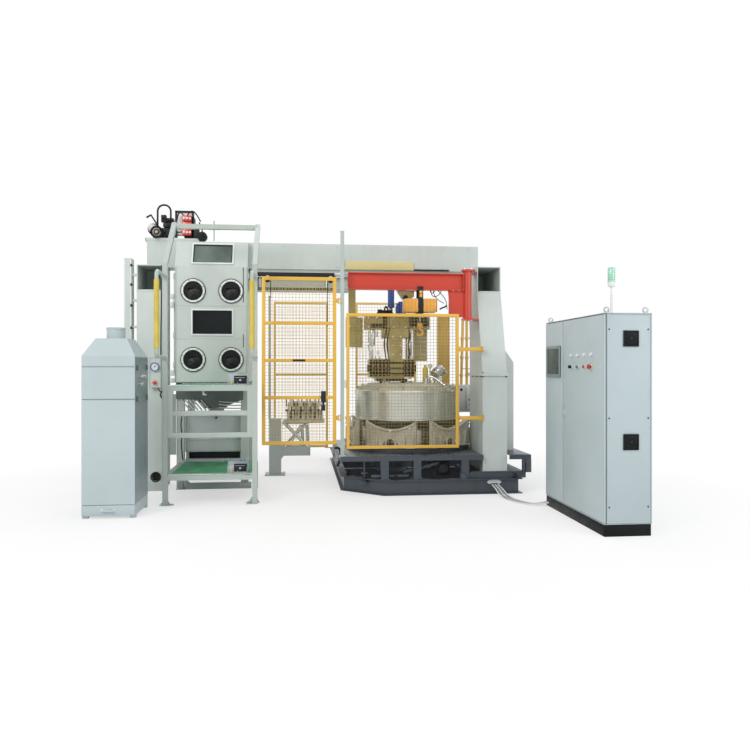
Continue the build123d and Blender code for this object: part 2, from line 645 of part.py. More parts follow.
with BuildPart() as upper_platform:
    block(step_x, (portal_front, cabin_front_y - 10), (upper_step_top - step_edge, upper_step_top))
    block((step_x[0] + tube, step_x[1] - tube), (portal_front + tube, cabin_front_y - 10 - tube),
          (upper_step_top - step_edge, upper_step_top - 6), mode=Mode.SUBTRACT)
    for arm_x in (step_x[0], step_x[1] - tube):
        block((arm_x, arm_x + tube), (cabin_front_y - 10, cabin_front_y),
              (upper_step_top - step_edge, cabin_bottom + 20))
    open_frame(step_x, (ladder_low - tube / 2, upper_step_top - step_edge), portal_front, tube, tube,
               rails=(ladder_mid,))
keep(upper_platform, "upper_platform")

with BuildPart() as platform_mats:
    block((step_x[0] + mat_inset, step_x[1] - mat_inset),
          (portal_front + tube + mat_inset, lower_step_rear - mat_inset),
          (lower_step_top, lower_step_top + mat_thickness))
    block((step_x[0] + mat_inset, step_x[1] - mat_inset),
          (portal_front + mat_inset, cabin_front_y - 10 - mat_inset),
          (upper_step_top, upper_step_top + mat_thickness))
keep(platform_mats, "platform_mats")

with BuildPart() as foot_switches:
    for step_z in (lower_step_top + mat_thickness, upper_step_top + mat_thickness):
        front = portal_front + tube + mat_inset
        plate_profile(side_on(pedal_x - pedal_width / 2),
                      ((front, step_z), (front + pedal_depth, step_z),
                       (front + pedal_depth, step_z + pedal_height),
                       (front + pedal_depth * 0.3, step_z + pedal_height), (front, step_z + 70)),
                      pedal_width)
        block((pedal_x, pedal_x + pedal_width / 2 - 14), (front - 1, front + pedal_depth * 0.7),
              (step_z + 24, step_z + pedal_height - 30), mode=Mode.SUBTRACT)
keep(foot_switches, "foot_switches")

with BuildPart() as gauge_box:
    gauge_front = left_column_front - gauge_depth
    block((gauge_left, gauge_right), (gauge_front, left_column_front), (gauge_bottom, gauge_top))
    gauge_x = (gauge_left + gauge_right) / 2
    rod((gauge_x, gauge_front, dial_z), (gauge_x, gauge_front - 30, dial_z), dial_radius)
    rod((gauge_x, gauge_front, knob_z), (gauge_x, gauge_front - 22, knob_z), knob_radius)
keep(gauge_box, "gauge_box")

# Guards: the middle post, two swing gates and the rear fence
post_x = (post_left, post_left + post_side)
post_y = (post_front, post_front + post_side)
with BuildPart() as middle_post:
    block(post_x, post_y, (deck_top, post_top))
    for hinge_z in mid_hinge_zs:
        for lug_z in (hinge_z - arm_height / 2 - lug_gap - lug_height,
                      hinge_z + arm_height / 2 + lug_gap):
            block((mid_hinge_x - 12, post_left), (hinge_y - 12, hinge_y + 12), (lug_z, lug_z + lug_height))
        rod((mid_hinge_x, hinge_y, hinge_z - arm_height / 2 - lug_gap),
            (mid_hinge_x, hinge_y, hinge_z + arm_height / 2 + lug_gap), pin_radius)
keep(middle_post, "middle_post")

gate_y = (hinge_y - guard_depth / 2, hinge_y + guard_depth / 2)
with BuildPart() as middle_gate:
    open_frame((mid_gate_left, mid_gate_right), (mid_gate_bottom, mid_gate_top), gate_y[0],
               mid_gate_bar, guard_depth, rails=mid_gate_rails)
    for hinge_z in mid_hinge_zs:
        block((mid_gate_right, mid_hinge_x + 10), (hinge_y - 10, hinge_y + 10),
              (hinge_z - arm_height / 2, hinge_z + arm_height / 2))
        rod((mid_hinge_x, hinge_y, hinge_z - arm_height), (mid_hinge_x, hinge_y, hinge_z + arm_height),
            pin_radius + pin_clearance, mode=Mode.SUBTRACT)
    rail_edges = [mid_gate_bottom + mid_gate_bar]
    for rail in mid_gate_rails:
        rail_edges += [rail - mid_gate_bar / 2, rail + mid_gate_bar / 2]
    rail_edges.append(mid_gate_top - mid_gate_bar)
    for low, high in zip(rail_edges[::2], rail_edges[1::2]):
        wire_panel((mid_gate_left + mid_gate_bar, mid_gate_right - mid_gate_bar), (low, high), hinge_y)
keep(middle_gate, "middle_gate")

with BuildPart() as front_gate:
    open_frame((front_gate_left, front_gate_right), (front_gate_bottom, front_gate_top), gate_y[0],
               front_gate_bar, guard_depth)
    for arm_z in arm_zs:
        block((front_gate_right, front_hinge_x + 10),
              (hinge_y - arm_thickness / 2, hinge_y + arm_thickness / 2),
              (arm_z - arm_height / 2, arm_z + arm_height / 2))
        rod((front_hinge_x, hinge_y, arm_z - arm_height / 2),
            (front_hinge_x, hinge_y, arm_z + arm_height / 2), 2 * pin_radius)
        rod((front_hinge_x, hinge_y, arm_z - arm_height), (front_hinge_x, hinge_y, arm_z + arm_height),
            pin_radius + pin_clearance, mode=Mode.SUBTRACT)
    wire_panel((front_gate_left + front_gate_bar, front_gate_right - front_gate_bar),
               (front_gate_bottom + front_gate_bar, front_gate_top - front_gate_bar), hinge_y)
keep(front_gate, "front_gate")

with BuildPart() as gate_brackets:
    for arm_z in arm_zs:
        for lug_z in (arm_z - arm_height / 2 - lug_gap - lug_height, arm_z + arm_height / 2 + lug_gap):
            lean = max(0, lug_z - column_joint) * (head_front - right_column_front)
            reach = right_column_front + lean / (head_bottom - column_joint) + 40
            block((front_hinge_x - 16, right_column_left), (hinge_y - 16, reach),
                  (lug_z, lug_z + lug_height))
        rod((front_hinge_x, hinge_y, arm_z - arm_height / 2 - lug_gap),
            (front_hinge_x, hinge_y, arm_z + arm_height / 2 + lug_gap), pin_radius)
keep(gate_brackets, "gate_brackets")

with BuildPart() as rear_fence:
    fence_y = base_rear - (base_flange_width + fence_bar) / 2
    seat_y = (fence_y - 10, fence_y + fence_bar + 10)
    for panel in fence_panels:
        open_frame(panel, (fence_bottom, fence_top), fence_y, fence_bar, fence_bar)
        wire_panel((panel[0] + fence_bar, panel[1] - fence_bar),
                   (fence_bottom + fence_bar, fence_top - fence_bar), fence_y + fence_bar / 2,
                   fence_pitch)
        for post in (panel[0], panel[1] - fence_bar):
            if post >= base_left:
                block((post - 20, post + fence_bar + 20), seat_y, (base_height, fence_bottom))
    first = fence_panels[0][0] + fence_bar / 2
    block((first - fence_bar / 2, first + fence_bar / 2), (fence_y, fence_y + fence_bar), (0, fence_bottom))
    block((first - fence_foot / 2, first + fence_foot / 2),
          (fence_y + fence_bar / 2 - fence_foot / 2, fence_y + fence_bar / 2 + fence_foot / 2), (0, 8))
    block((fence_panels[0][1] - fence_bar, base_left + fence_seat), seat_y, (base_height, fence_bottom))
keep(rear_fence, "rear_fence")

# Jib crane on the right column
boom_top = boom_bottom + boom_height
boom_x = (boom_tip, mast_x - mast_radius + 10)
with BuildPart() as jib_arm:
    with BuildSketch(side_on(boom_x[0])):
        with Locations((mast_y, boom_bottom + boom_height / 2)):
            Rectangle(boom_width, boom_height)
        with Locations((mast_y - boom_width / 2, boom_bottom + boom_height / 2),
                       (mast_y + boom_width / 2, boom_bottom + boom_height / 2)):
            Rectangle(boom_width - boom_web, boom_height - 2 * boom_flange, mode=Mode.SUBTRACT)
    extrude(amount=boom_x[1] - boom_x[0])
    block((boom_tip - 12, boom_tip), (mast_y - boom_width / 2, mast_y + boom_width / 2),
          (boom_bottom - 10, boom_top + 10))
    block((mast_x - mast_radius - knee_length, mast_x - mast_radius + 10),
          (mast_y - knee_thickness / 2, mast_y + knee_thickness / 2), (knee_bottom, boom_bottom))
    rod((mast_x, mast_y, mast_bottom), (mast_x, mast_y, mast_top), mast_radius)
    for socket in (mast_bottom, mast_top - pivot_depth):
        rod((mast_x, mast_y, socket), (mast_x, mast_y, socket + pivot_depth),
            pivot_radius + pin_clearance, mode=Mode.SUBTRACT)
keep(jib_arm, "jib_arm")

with BuildPart() as jib_brackets:
    for low, pin_low, pin_high, reach_y in (
            (mast_bottom - bracket_gap - bracket_plate, mast_bottom - bracket_gap,
             mast_bottom + pivot_depth - 5, right_column_front),
            (mast_top + bracket_gap, mast_top + 5 - pivot_depth, mast_top + bracket_gap, head_front)):
        lean = (low - column_joint) / (head_bottom - column_joint)
        column_face = right_column_front + min(1, lean) * (head_front - right_column_front)
        plate_profile(Plane.XY.offset(low),
                      ((mast_x - 70, mast_y - 70), (mast_x + 70, mast_y - 70),
                       (right_column_left, column_face + 20), (right_column_left, column_face + 200),
                       (mast_x - 70, mast_y + 70)), bracket_plate)
        rod((mast_x, mast_y, pin_low), (mast_x, mast_y, pin_high), pivot_radius)
keep(jib_brackets, "jib_brackets")

# Electric chain hoist on its trolley, and the hook
with BuildPart() as hoist:
    for side in (-1, 1):
        plate_y = mast_y + side * (boom_width / 2 + 14)
        block((hoist_x - trolley_length / 2, hoist_x + trolley_length / 2),
              (min(plate_y, plate_y + side * trolley_plate), max(plate_y, plate_y + side * trolley_plate)),
              (motor_box_top, motor_box_top + trolley_height))
        for wheel_x in (hoist_x - 45, hoist_x + 45):
            wheel_z = boom_bottom + boom_flange + wheel_radius + 0.5
            rod((wheel_x, plate_y, wheel_z), (wheel_x, plate_y - side * wheel_width, wheel_z), wheel_radius)
    block((hoist_x - trolley_length / 2, hoist_x + trolley_length / 2),
          (mast_y - boom_width / 2 - 24, mast_y + boom_width / 2 + 24),
          (motor_box_top, motor_box_top + 30))
    block((hoist_x - hoist_gap / 2, hoist_x + hoist_gap / 2),
          (mast_y - motor_box_depth / 2 + 15, mast_y + motor_box_depth / 2 - 15),
          (motor_box_bottom - 20, motor_box_top))
    for box_x in (hoist_x - hoist_gap / 2 - motor_box_length, hoist_x + hoist_gap / 2):
        with BuildSketch(side_on(box_x), mode=Mode.PRIVATE) as motor_box:
            with Locations((mast_y, (motor_box_bottom + motor_box_top) / 2)):
                RectangleRounded(motor_box_depth, motor_box_top - motor_box_bottom, motor_box_round)
        extrude(motor_box.sketch, amount=motor_box_length)
    rod((hoist_x, mast_y, motor_box_bottom - 30), (hoist_x, mast_y, boom_bottom),
        chain_radius + chain_clearance, mode=Mode.SUBTRACT)
keep(hoist, "hoist")

with BuildPart() as hook:
    rod((hoist_x, mast_y, hook_block_top - 10), (hoist_x, mast_y, chain_top), chain_radius)
    rod((hoist_x, mast_y, hook_block_top - hook_block_height), (hoist_x, mast_y, hook_block_top),
        hook_block_radius)
    hook_z = hook_block_top - hook_block_height - 30 - hook_radius
    rod((hoist_x, mast_y, hook_z + hook_radius - 4), (hoist_x, mast_y, hook_z + hook_radius + 34), 14)
    with BuildSketch(facing(mast_y - hook_wire)):
        with Locations((hoist_x, hook_z)):
            Circle(hook_radius + hook_wire)
            Circle(hook_radius - hook_wire, mode=Mode.SUBTRACT)
        with Locations((hoist_x, hook_z)):
            Rectangle(hook_radius + hook_wire + 1, hook_mouth, mode=Mode.SUBTRACT,
                      align=(Align.MAX, Align.MIN))
    extrude(amount=-2 * hook_wire)
keep(hook, "hook")

# Manipulator: a head under the beam with its lifting cylinder and guide, and the gripper they carry
with BuildPart() as manipulator_carriage:
    block((carriage_left, carriage_right), (carriage_front, carriage_rear), (carriage_bottom, column_top))
    plate_profile(facing(carriage_rear),
                  ((gusset_left, carriage_bottom), (gusset_right, carriage_bottom),
                   (gusset_right, gusset_bottom + 30), (gusset_right - 70, gusset_bottom),
                   (gusset_left + 100, gusset_bottom)), 2 * (carriage_rear - guide_y))
    rod((barrel_x, barrel_y, barrel_bottom), (barrel_x, barrel_y, carriage_bottom + 1), barrel_radius)
    for bore_x, bore_y, bore_low, bore_radius in (
            (barrel_x, barrel_y, barrel_bottom, rod_radius), (guide_x, guide_y, gusset_bottom, guide_radius)):
        rod((bore_x, bore_y, bore_low - 10), (bore_x, bore_y, column_top - 60),
            bore_radius + rod_clearance, mode=Mode.SUBTRACT)
    block((drop_left, drop_right), (drop_front, carriage_rear), (drop_bottom, column_top))
    block((drop_plate_left, drop_plate_right), (carriage_rear - 30, carriage_rear),
          (drop_bottom, drop_plate_top))
    block((drop_right, carriage_left), (drop_front, carriage_rear), (carriage_bottom + 60, column_top))
keep(manipulator_carriage, "manipulator_carriage")

with BuildPart() as gripper:
    block((frame_left, frame_right), (jaw_front + 40, jaw_rear - 40), (frame_bottom, frame_top))
    rod((barrel_x, barrel_y, frame_top - 10), (barrel_x, barrel_y, rod_top), rod_radius)
    rod((guide_x, guide_y, frame_top - 10), (guide_x, guide_y, rod_top + 60), guide_radius)
    rod((ram_x, ram_y, frame_top - 10), (ram_x, ram_y, ram_top), ram_radius)
    block((crown_left, crown_right), (crown_front, jaw_rear - 40), (crown_bottom, frame_bottom))
    block((side_plate_left, frame_right), (side_plate_front, jaw_rear - 40),
          (side_plate_bottom, frame_bottom))
    for clamp_x, clamp_bottom in zip(clamp_xs, clamp_bottoms):
        rod((clamp_x, clamp_y, frame_bottom + 1), (clamp_x, clamp_y, clamp_bottom), clamp_radius)
        rod((clamp_x, clamp_y, clamp_bottom + 1), (clamp_x, clamp_y, jaw_top - 30), clamp_rod)
    block((spine_left, spine_right), (jaw_front + 20, jaw_rear - 20), (spine_bottom, crown_bottom))
    block((jaw_left, jaw_right), (jaw_front, jaw_rear), (jaw_bottom, jaw_top))
    block((jaw_foot_left, jaw_foot_right), (jaw_front + 20, jaw_rear - 20), (jaw_foot_bottom, jaw_bottom))
keep(gripper, "gripper")

# Feed column on the deck behind the furnace, with its three pipes
with BuildPart() as feed_column:
    block((feed_left, feed_right), (feed_front, feed_rear), (deck_top, feed_top))
    block((feed_left - feed_foot, feed_right + feed_foot), (feed_front, feed_rear + feed_foot),
          (deck_top, deck_top + 20))
keep(feed_column, "feed_column")

with BuildPart() as feed_pipes:
    block((feed_box_left, feed_box_right), (feed_box_front, feed_box_rear), (feed_box_bottom, feed_box_top))
    for leg_x in (feed_box_left, feed_box_right - feed_leg):
        block((leg_x, leg_x + feed_leg), (feed_box_front, feed_box_rear), (deck_top, feed_box_bottom))
    pipe_y = (feed_box_front + feed_box_rear) / 2
    block((pipe_x - 70, pipe_x + 70), (pipe_y - 50, pipe_y + 50), (pipe_top - 16, pipe_top))
    for spread in (-0.5, 0, 0.5):
        rod((pipe_x + spread * pipe_spread, pipe_y, feed_box_top - 10),
            (pipe_x + spread * pipe_spread * 0.7, pipe_y, pipe_top - 8), pipe_radius)
keep(feed_pipes, "feed_pipes")

# Core setting table: a pillar, an arm, a scissor and the table with its fixture
stand_y = (stand_front, stand_front + stand_depth)
with BuildPart() as table_stand:
    block((stand_left, stand_right), stand_y, (stand_foot_plate, stand_top))
    block((stand_left - stand_foot, stand_right + stand_foot),
          (stand_y[0] - stand_foot, stand_y[1] + stand_foot), (0, stand_foot_plate))
    block((stand_right, arm_right), stand_y, (arm_bottom, arm_top))
    left, right = stand_right + 40, arm_right - 40
    middle = ((left + right) / 2, (arm_top + table_bottom) / 2)
    slope = degrees(atan2(table_bottom - arm_top, right - left))
    for bar_y in (stand_y[0] + 10, stand_y[1] - 10 - scissor_bar):
        with BuildSketch(facing(bar_y), mode=Mode.PRIVATE) as cross:
            with Locations(Location((*middle, 0), (0, 0, slope)), Location((*middle, 0), (0, 0, -slope))):
                Rectangle(2 * (right - left), scissor_bar)
            with Locations(middle):
                Rectangle(right - left + 60, table_bottom - arm_top, mode=Mode.INTERSECT)
        extrude(cross.sketch, amount=-scissor_bar)
    for plate_z in (arm_top, table_bottom - 20):
        block((left - 30, right + 30), stand_y, (plate_z, plate_z + 20))
keep(table_stand, "table_stand")

with BuildPart() as setting_table:
    block((table_left, table_right), (stand_y[0] - 60, stand_y[1] + 60), (table_bottom, table_top))
    block((fixture_left, fixture_right), (stand_y[0] - 30, stand_y[1] + 30),
          (table_top, table_top + fixture_height * 0.5))
    block((fixture_left + 60, fixture_right - 60), (stand_y[0] - 10, stand_y[1] + 10),
          (table_top + fixture_height * 0.5, table_top + fixture_height))
keep(setting_table, "setting_table")

# Control cabinet with two doors
cabinet_y = (cabinet_front, cabinet_rear)
door_rear = cabinet_left + door_thickness
door_z = (plinth_height + door_gap + 5, cabinet_height - door_gap - 5)
pin_x = cabinet_left + door_pin_inset
near_pin_y = cabinet_front + door_pin_inset - 2
far_pin_y = cabinet_rear - door_pin_inset + 2
with BuildPart() as cabinet_body:
    block((cabinet_left, cabinet_right), cabinet_y, (plinth_height, cabinet_height))
    block((cabinet_left, cabinet_right - cabinet_wall),
          (cabinet_front + cabinet_wall, cabinet_rear - cabinet_wall),
          (plinth_height + cabinet_wall, cabinet_height - cabinet_wall), mode=Mode.SUBTRACT)
    block((cabinet_left, door_rear + door_gap), cabinet_y,
          (plinth_height + 5, cabinet_height - 5), mode=Mode.SUBTRACT)
    block((cabinet_left, door_rear + door_gap),
          (cabinet_front + cabinet_wall, cabinet_rear - cabinet_wall),
          (plinth_height + 5, cabinet_height - 5), mode=Mode.SUBTRACT)
    for pin_y in (near_pin_y, far_pin_y):
        rod((pin_x, pin_y, plinth_height), (pin_x, pin_y, door_z[0] + door_pin_length), door_pin_radius)
        rod((pin_x, pin_y, door_z[1] - door_pin_length), (pin_x, pin_y, cabinet_height), door_pin_radius)
    block((cabinet_right - 40, cabinet_right - cabinet_wall), (cabinet_front + 90, cabinet_rear - 90),
          (plinth_height + 110, cabinet_height - 110))
    for vent_z in vent_zs:
        block((vent_x - vent_side / 2, vent_x + vent_side / 2), (cabinet_front - vent_depth, cabinet_front),
              (vent_z - vent_side / 2, vent_z + vent_side / 2))
    for eye_x in (cabinet_left + eye_inset, cabinet_right - eye_inset):
        for eye_y in (cabinet_front + eye_inset, cabinet_rear - eye_inset):
            rod((eye_x, eye_y, cabinet_height), (eye_x, eye_y, cabinet_height + 10), 16)
            with BuildSketch(facing(eye_y - eye_wire), mode=Mode.PRIVATE) as eye:
                with Locations((eye_x, cabinet_height + eye_radius + 10)):
                    Circle(eye_radius + eye_wire)
                    Circle(eye_radius - eye_wire, mode=Mode.SUBTRACT)
            extrude(eye.sketch, amount=-2 * eye_wire)
keep(cabinet_body, "cabinet_body")

with BuildPart() as cabinet_plinth:
    block((cabinet_left + 6, cabinet_right - 6), (cabinet_front + 6, cabinet_rear - 6), (0, plinth_height))
keep(cabinet_plinth, "cabinet_plinth")


def door_leaf(y, pin_y):
    """A door leaf in the open face of the cabinet, with a pivot hole at each end of its hinge edge."""
    block((cabinet_left, door_rear), y, door_z)
    for hole_z in (door_z[0] - 1, door_z[1] - door_pin_length - 2):
        rod((pin_x, pin_y, hole_z), (pin_x, pin_y, hole_z + door_pin_length + 3),
            door_pin_radius + pin_clearance, mode=Mode.SUBTRACT)


with BuildPart() as near_door:
    door_leaf((cabinet_front + 2, door_split - door_gap / 2), near_pin_y)
    for column in range(4):
        for button_z in button_zs:
            button_y = button_first + column * button_pitch
            rod((cabinet_left, button_y, button_z), (cabinet_left - button_depth, button_y, button_z),
                button_radius)
keep(near_door, "near_door")

with BuildPart() as far_door:
    door_leaf((door_split + door_gap / 2, cabinet_rear - 2), far_pin_y)
keep(far_door, "far_door")

with BuildPart() as touch_screen:
    block((cabinet_left - screen_depth, cabinet_left), (screen_front, screen_rear), (screen_bottom, screen_top))
keep(touch_screen, "touch_screen")

with BuildPart() as signal_tower:
    pole_top = cabinet_height + tower_pole_height
    rod((tower_x, tower_y, cabinet_height), (tower_x, tower_y, cabinet_height + 8), 30)
    rod((tower_x, tower_y, cabinet_height), (tower_x, tower_y, pole_top), tower_pole)
    rod((tower_x, tower_y, pole_top), (tower_x, tower_y, pole_top + tower_base), tower_radius)
    rod((tower_x, tower_y, pole_top + tower_base), (tower_x, tower_y, pole_top + tower_base + tower_lens),
        tower_radius - 2)
keep(signal_tower, "signal_tower")

# Dust collector
dust_x, dust_y = (dust_left, dust_right), (dust_front, dust_rear)
drawer_top = dust_foot + drawer_height
dust_middle = ((dust_left + dust_right) / 2, (dust_front + dust_rear) / 2)
with BuildPart() as dust_body:
    block(dust_x, dust_y, (dust_foot, dust_seam_low))
    block((dust_left, dust_right), (dust_front, dust_front + drawer_depth + drawer_gap),
          (dust_foot, drawer_top + drawer_gap), mode=Mode.SUBTRACT)
    for wall_x in (dust_left, dust_right - drawer_wall):
        block((wall_x, wall_x + drawer_wall), (dust_front + drawer_wall + drawer_gap, dust_rear),
              (dust_foot, drawer_top + drawer_gap))
    block(dust_x, (dust_front + drawer_wall + drawer_gap, dust_rear), (dust_foot, dust_foot + drawer_wall))
    for foot_x in (dust_left, dust_right - dust_foot_side):
        for foot_y in (dust_front + 20, dust_rear - dust_foot_side):
            block((foot_x, foot_x + dust_foot_side), (foot_y, foot_y + dust_foot_side), (0, dust_foot))
keep(dust_body, "dust_body")

with BuildPart() as dust_hood:
    block(dust_x, dust_y, (dust_seam_low + dust_seam, dust_seam_high - dust_seam))
    block((dust_left + dust_seam_inset, dust_right - dust_seam_inset),
          (dust_front + dust_seam_inset, dust_rear - dust_seam_inset), (dust_seam_low, dust_seam_high))
    block(dust_x, dust_y, (dust_seam_high, dust_shoulder))
    funnel(dust_middle, (dust_shoulder, dust_hood_top), (dust_right - dust_left, dust_rear - dust_front),
           (hood_top_width, hood_top_depth))
    with Locations((*dust_middle, dust_hood_top)):
        Cylinder(outlet_radius, outlet_height, align=(Align.CENTER, Align.CENTER, Align.MIN))
    with Locations((*dust_middle, dust_hood_top - 60)):
        Cylinder(outlet_radius - outlet_wall, outlet_height + 60, mode=Mode.SUBTRACT,
                 align=(Align.CENTER, Align.CENTER, Align.MIN))
keep(dust_hood, "dust_hood")

drawer_x = (dust_left + drawer_wall + drawer_gap, dust_right - drawer_wall - drawer_gap)
drawer_z = (dust_foot + drawer_wall + 0.3, drawer_top)
with BuildPart() as dust_drawer:
    block(dust_x, (dust_front, dust_front + drawer_wall), (dust_foot, drawer_top))
    block(drawer_x, (dust_front + drawer_wall, dust_front + drawer_depth), drawer_z)
    block((drawer_x[0] + drawer_wall, drawer_x[1] - drawer_wall),
          (dust_front + 2 * drawer_wall, dust_front + drawer_depth - drawer_wall),
          (drawer_z[0] + drawer_wall, drawer_z[1]), mode=Mode.SUBTRACT)
    handle_z = (dust_foot + drawer_top) / 2
    with BuildSketch(Plane.XY.offset(handle_z - handle_wire)) as bow:
        with Locations((dust_middle[0], dust_front)):
            RectangleRounded(handle_width + 2 * handle_wire, 2 * (handle_reach + handle_wire),
                             handle_bend + handle_wire)
            RectangleRounded(handle_width - 2 * handle_wire, 2 * (handle_reach - handle_wire),
                             handle_bend - handle_wire, mode=Mode.SUBTRACT)
        with Locations((dust_middle[0], dust_front)):
            Rectangle(2 * handle_width, 2 * handle_width, align=(Align.CENTER, Align.MIN),
                      mode=Mode.SUBTRACT)
    extrude(amount=2 * handle_wire)
keep(dust_drawer, "dust_drawer")

# Cables: out of the base's web, down to the floor and into the side of the cabinet's plinth
for index in range(cable_count):
    across = index * cable_pitch
    path, radii = cable_route((
        (cable_left + across, base_front + web_inset - 1, cable_z),
        (cable_left - 4 + 1.1 * across, base_front - 130, cable_z - 8),
        (cable_left + 30 + 1.35 * across, base_front - 330, 9),
        (cable_left + 130 + 1.35 * across, base_front - 640, 9),
        (cable_left + 300 + 0.4 * across, base_front - 850 + 0.85 * across, 10),
        (cabinet_left + 3.4, base_front - 875 + across, 45)))
    with BuildPart() as cable:
        with BuildLine() as route:
            FilletPolyline(*path, radius=radii)
        with BuildSketch(Plane(origin=route.line @ 0, z_dir=route.line % 0)):
            Circle(cable_diameter / 2)
        sweep(path=route.line)
    keep(cable, f"cable_{index + 1}")

for piece, name in finished:
    export_step(piece, f"parts/{name}.step")
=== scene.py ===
"""Looks of the die casting machine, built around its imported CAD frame.

Pieces are modelled in millimetres with Blender's own tools, in the frame of the CAD part, and brought to
metres when their parts are joined.  +Z is up and the operator's side faces -Y.
"""
import contextlib
import math

import bpy
from mathutils import Matrix, Vector


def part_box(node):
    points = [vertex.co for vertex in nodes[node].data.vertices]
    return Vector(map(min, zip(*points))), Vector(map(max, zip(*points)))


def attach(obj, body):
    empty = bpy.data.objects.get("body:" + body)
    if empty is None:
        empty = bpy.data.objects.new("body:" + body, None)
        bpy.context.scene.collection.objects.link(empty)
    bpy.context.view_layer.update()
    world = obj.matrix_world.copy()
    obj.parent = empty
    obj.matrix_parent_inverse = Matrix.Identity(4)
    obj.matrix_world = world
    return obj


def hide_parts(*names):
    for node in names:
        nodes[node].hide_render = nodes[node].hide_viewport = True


MM = 0.001
UNTURNED = Matrix.Identity(4)
UP, DOWN = (0, 0, 1), (0, 0, -1)
LEFT, RIGHT = (-1, 0, 0), (1, 0, 0)
FRONT, REAR = (0, -1, 0), (0, 1, 0)

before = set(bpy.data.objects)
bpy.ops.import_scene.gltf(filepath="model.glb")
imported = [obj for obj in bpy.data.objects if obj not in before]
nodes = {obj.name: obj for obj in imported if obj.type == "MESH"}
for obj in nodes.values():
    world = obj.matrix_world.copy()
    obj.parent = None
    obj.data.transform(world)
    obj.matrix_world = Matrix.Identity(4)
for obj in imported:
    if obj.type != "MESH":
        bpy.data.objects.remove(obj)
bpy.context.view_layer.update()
scene = bpy.context.scene
bpy.ops.object.select_all(action="DESELECT")

# Materials


def srgb(code):
    """The linear colour of a hex code that is written for screens."""
    values = [int(code[i:i + 2], 16) / 255 for i in (1, 3, 5)]
    return [v / 12.92 if v <= 0.04045 else ((v + 0.055) / 1.055) ** 2.4 for v in values] + [1.0]


def tone(code, factor):
    """The same colour, darker or lighter."""
    values = [min(255, max(0, round(int(code[i:i + 2], 16) * factor))) for i in (1, 3, 5)]
    return srgb("#{:02X}{:02X}{:02X}".format(*values))


def per_mm(size):
    """The scale of a pattern whose marks are this many millimetres wide."""
    return 1 / (size * MM)


def set_inputs(node, inputs):
    """Gives a node's inputs their values, or links them to other nodes' outputs."""
    for name, value in inputs.items():
        if isinstance(value, bpy.types.NodeSocket):
            node.id_data.links.new(value, node.inputs[name])
        else:
            node.inputs[name].default_value = value


def add_node(tree, kind, inputs, **settings):
    """Adds a node with its settings and links, and gives its outputs."""
    node = tree.nodes.new(kind)
    for name, value in settings.items():
        setattr(node, name, value)
    set_inputs(node, inputs)
    return node.outputs


def surface(name, code, roughness, metallic=0.0, ior=1.5, patch=600, change=0.04, grain=3, depth=0.05,
            stretch=(1, 1, 1), grime=0.0, coat=0.0, glow=0.0, ribs=0, mirror=0.5):
    """A finish with slow patches of tone, uneven gloss and a grain that catches the light.

    patch and grain are the widths of their marks in millimetres, and depth is the height of the grain.
    stretch lengthens the grain, grime darkens streaks that run down, and ribs is the pitch of raised lines.
    mirror is the share of plain reflection, which is less on matt black surfaces.
    """
    material = bpy.data.materials.new(name)
    material.use_nodes = True
    tree = material.node_tree
    place = add_node(tree, "ShaderNodeTexCoord", {})["Object"]
    patches = add_node(tree, "ShaderNodeTexNoise",
                       {"Vector": place, "Scale": per_mm(patch), "Detail": 3.0})["Fac"]
    share = add_node(tree, "ShaderNodeMapRange",
                     {"Value": patches, "From Min": 0.3, "From Max": 0.7})["Result"]
    colour = add_node(tree, "ShaderNodeMix", {0: share, 6: tone(code, 1 - change), 7: tone(code, 1 + change)},
                      data_type="RGBA")[2]
    if grime:
        # Streaks are 90 mm wide and eight times as long.
        runs = add_node(tree, "ShaderNodeMapping", {"Vector": place, "Scale": (1, 1, 0.12)})["Vector"]
        marks = add_node(tree, "ShaderNodeTexNoise",
                         {"Vector": runs, "Scale": per_mm(90), "Detail": 6.0})["Fac"]
        share = add_node(tree, "ShaderNodeMapRange", {"Value": marks, "From Min": 0.52, "From Max": 0.75,
                                                      "To Max": grime})["Result"]
        colour = add_node(tree, "ShaderNodeMix", {0: share, 6: colour, 7: tone(code, 0.6)},
                          data_type="RGBA")[2]
    lay = add_node(tree, "ShaderNodeMapping", {"Vector": place, "Scale": stretch})["Vector"]
    fine = add_node(tree, "ShaderNodeTexNoise", {"Vector": lay, "Scale": per_mm(grain), "Detail": 3.0})["Fac"]
    worn = add_node(tree, "ShaderNodeTexNoise",
                    {"Vector": place, "Scale": per_mm(patch / 5), "Detail": 5.0})["Fac"]
    gloss = add_node(tree, "ShaderNodeMapRange", {"Value": worn, "From Min": 0.3, "From Max": 0.7,
                                                  "To Min": roughness - 0.06,
                                                  "To Max": roughness + 0.08})["Result"]
    height, rise = fine, depth
    if ribs:
        # A wave texture of scale 1 repeats every pi / 10 of a metre, and the ribs stand 2 mm proud.
        height = add_node(tree, "ShaderNodeTexWave",
                          {"Vector": place, "Scale": per_mm(ribs) * math.pi / 10})["Fac"]
        rise = 2.0
    normal = add_node(tree, "ShaderNodeBump",
                      {"Height": height, "Strength": 0.35, "Distance": rise * MM})["Normal"]
    shader = tree.nodes["Principled BSDF"]
    set_inputs(shader, {"Base Color": colour, "Roughness": gloss, "Normal": normal, "Metallic": metallic,
                        "Emission Color": srgb(code), "Emission Strength": glow, "Coat Weight": coat,
                        "Coat Roughness": 0.05, "Specular IOR Level": mirror})
    if not metallic:
        shader.inputs["IOR"].default_value = ior
    return material


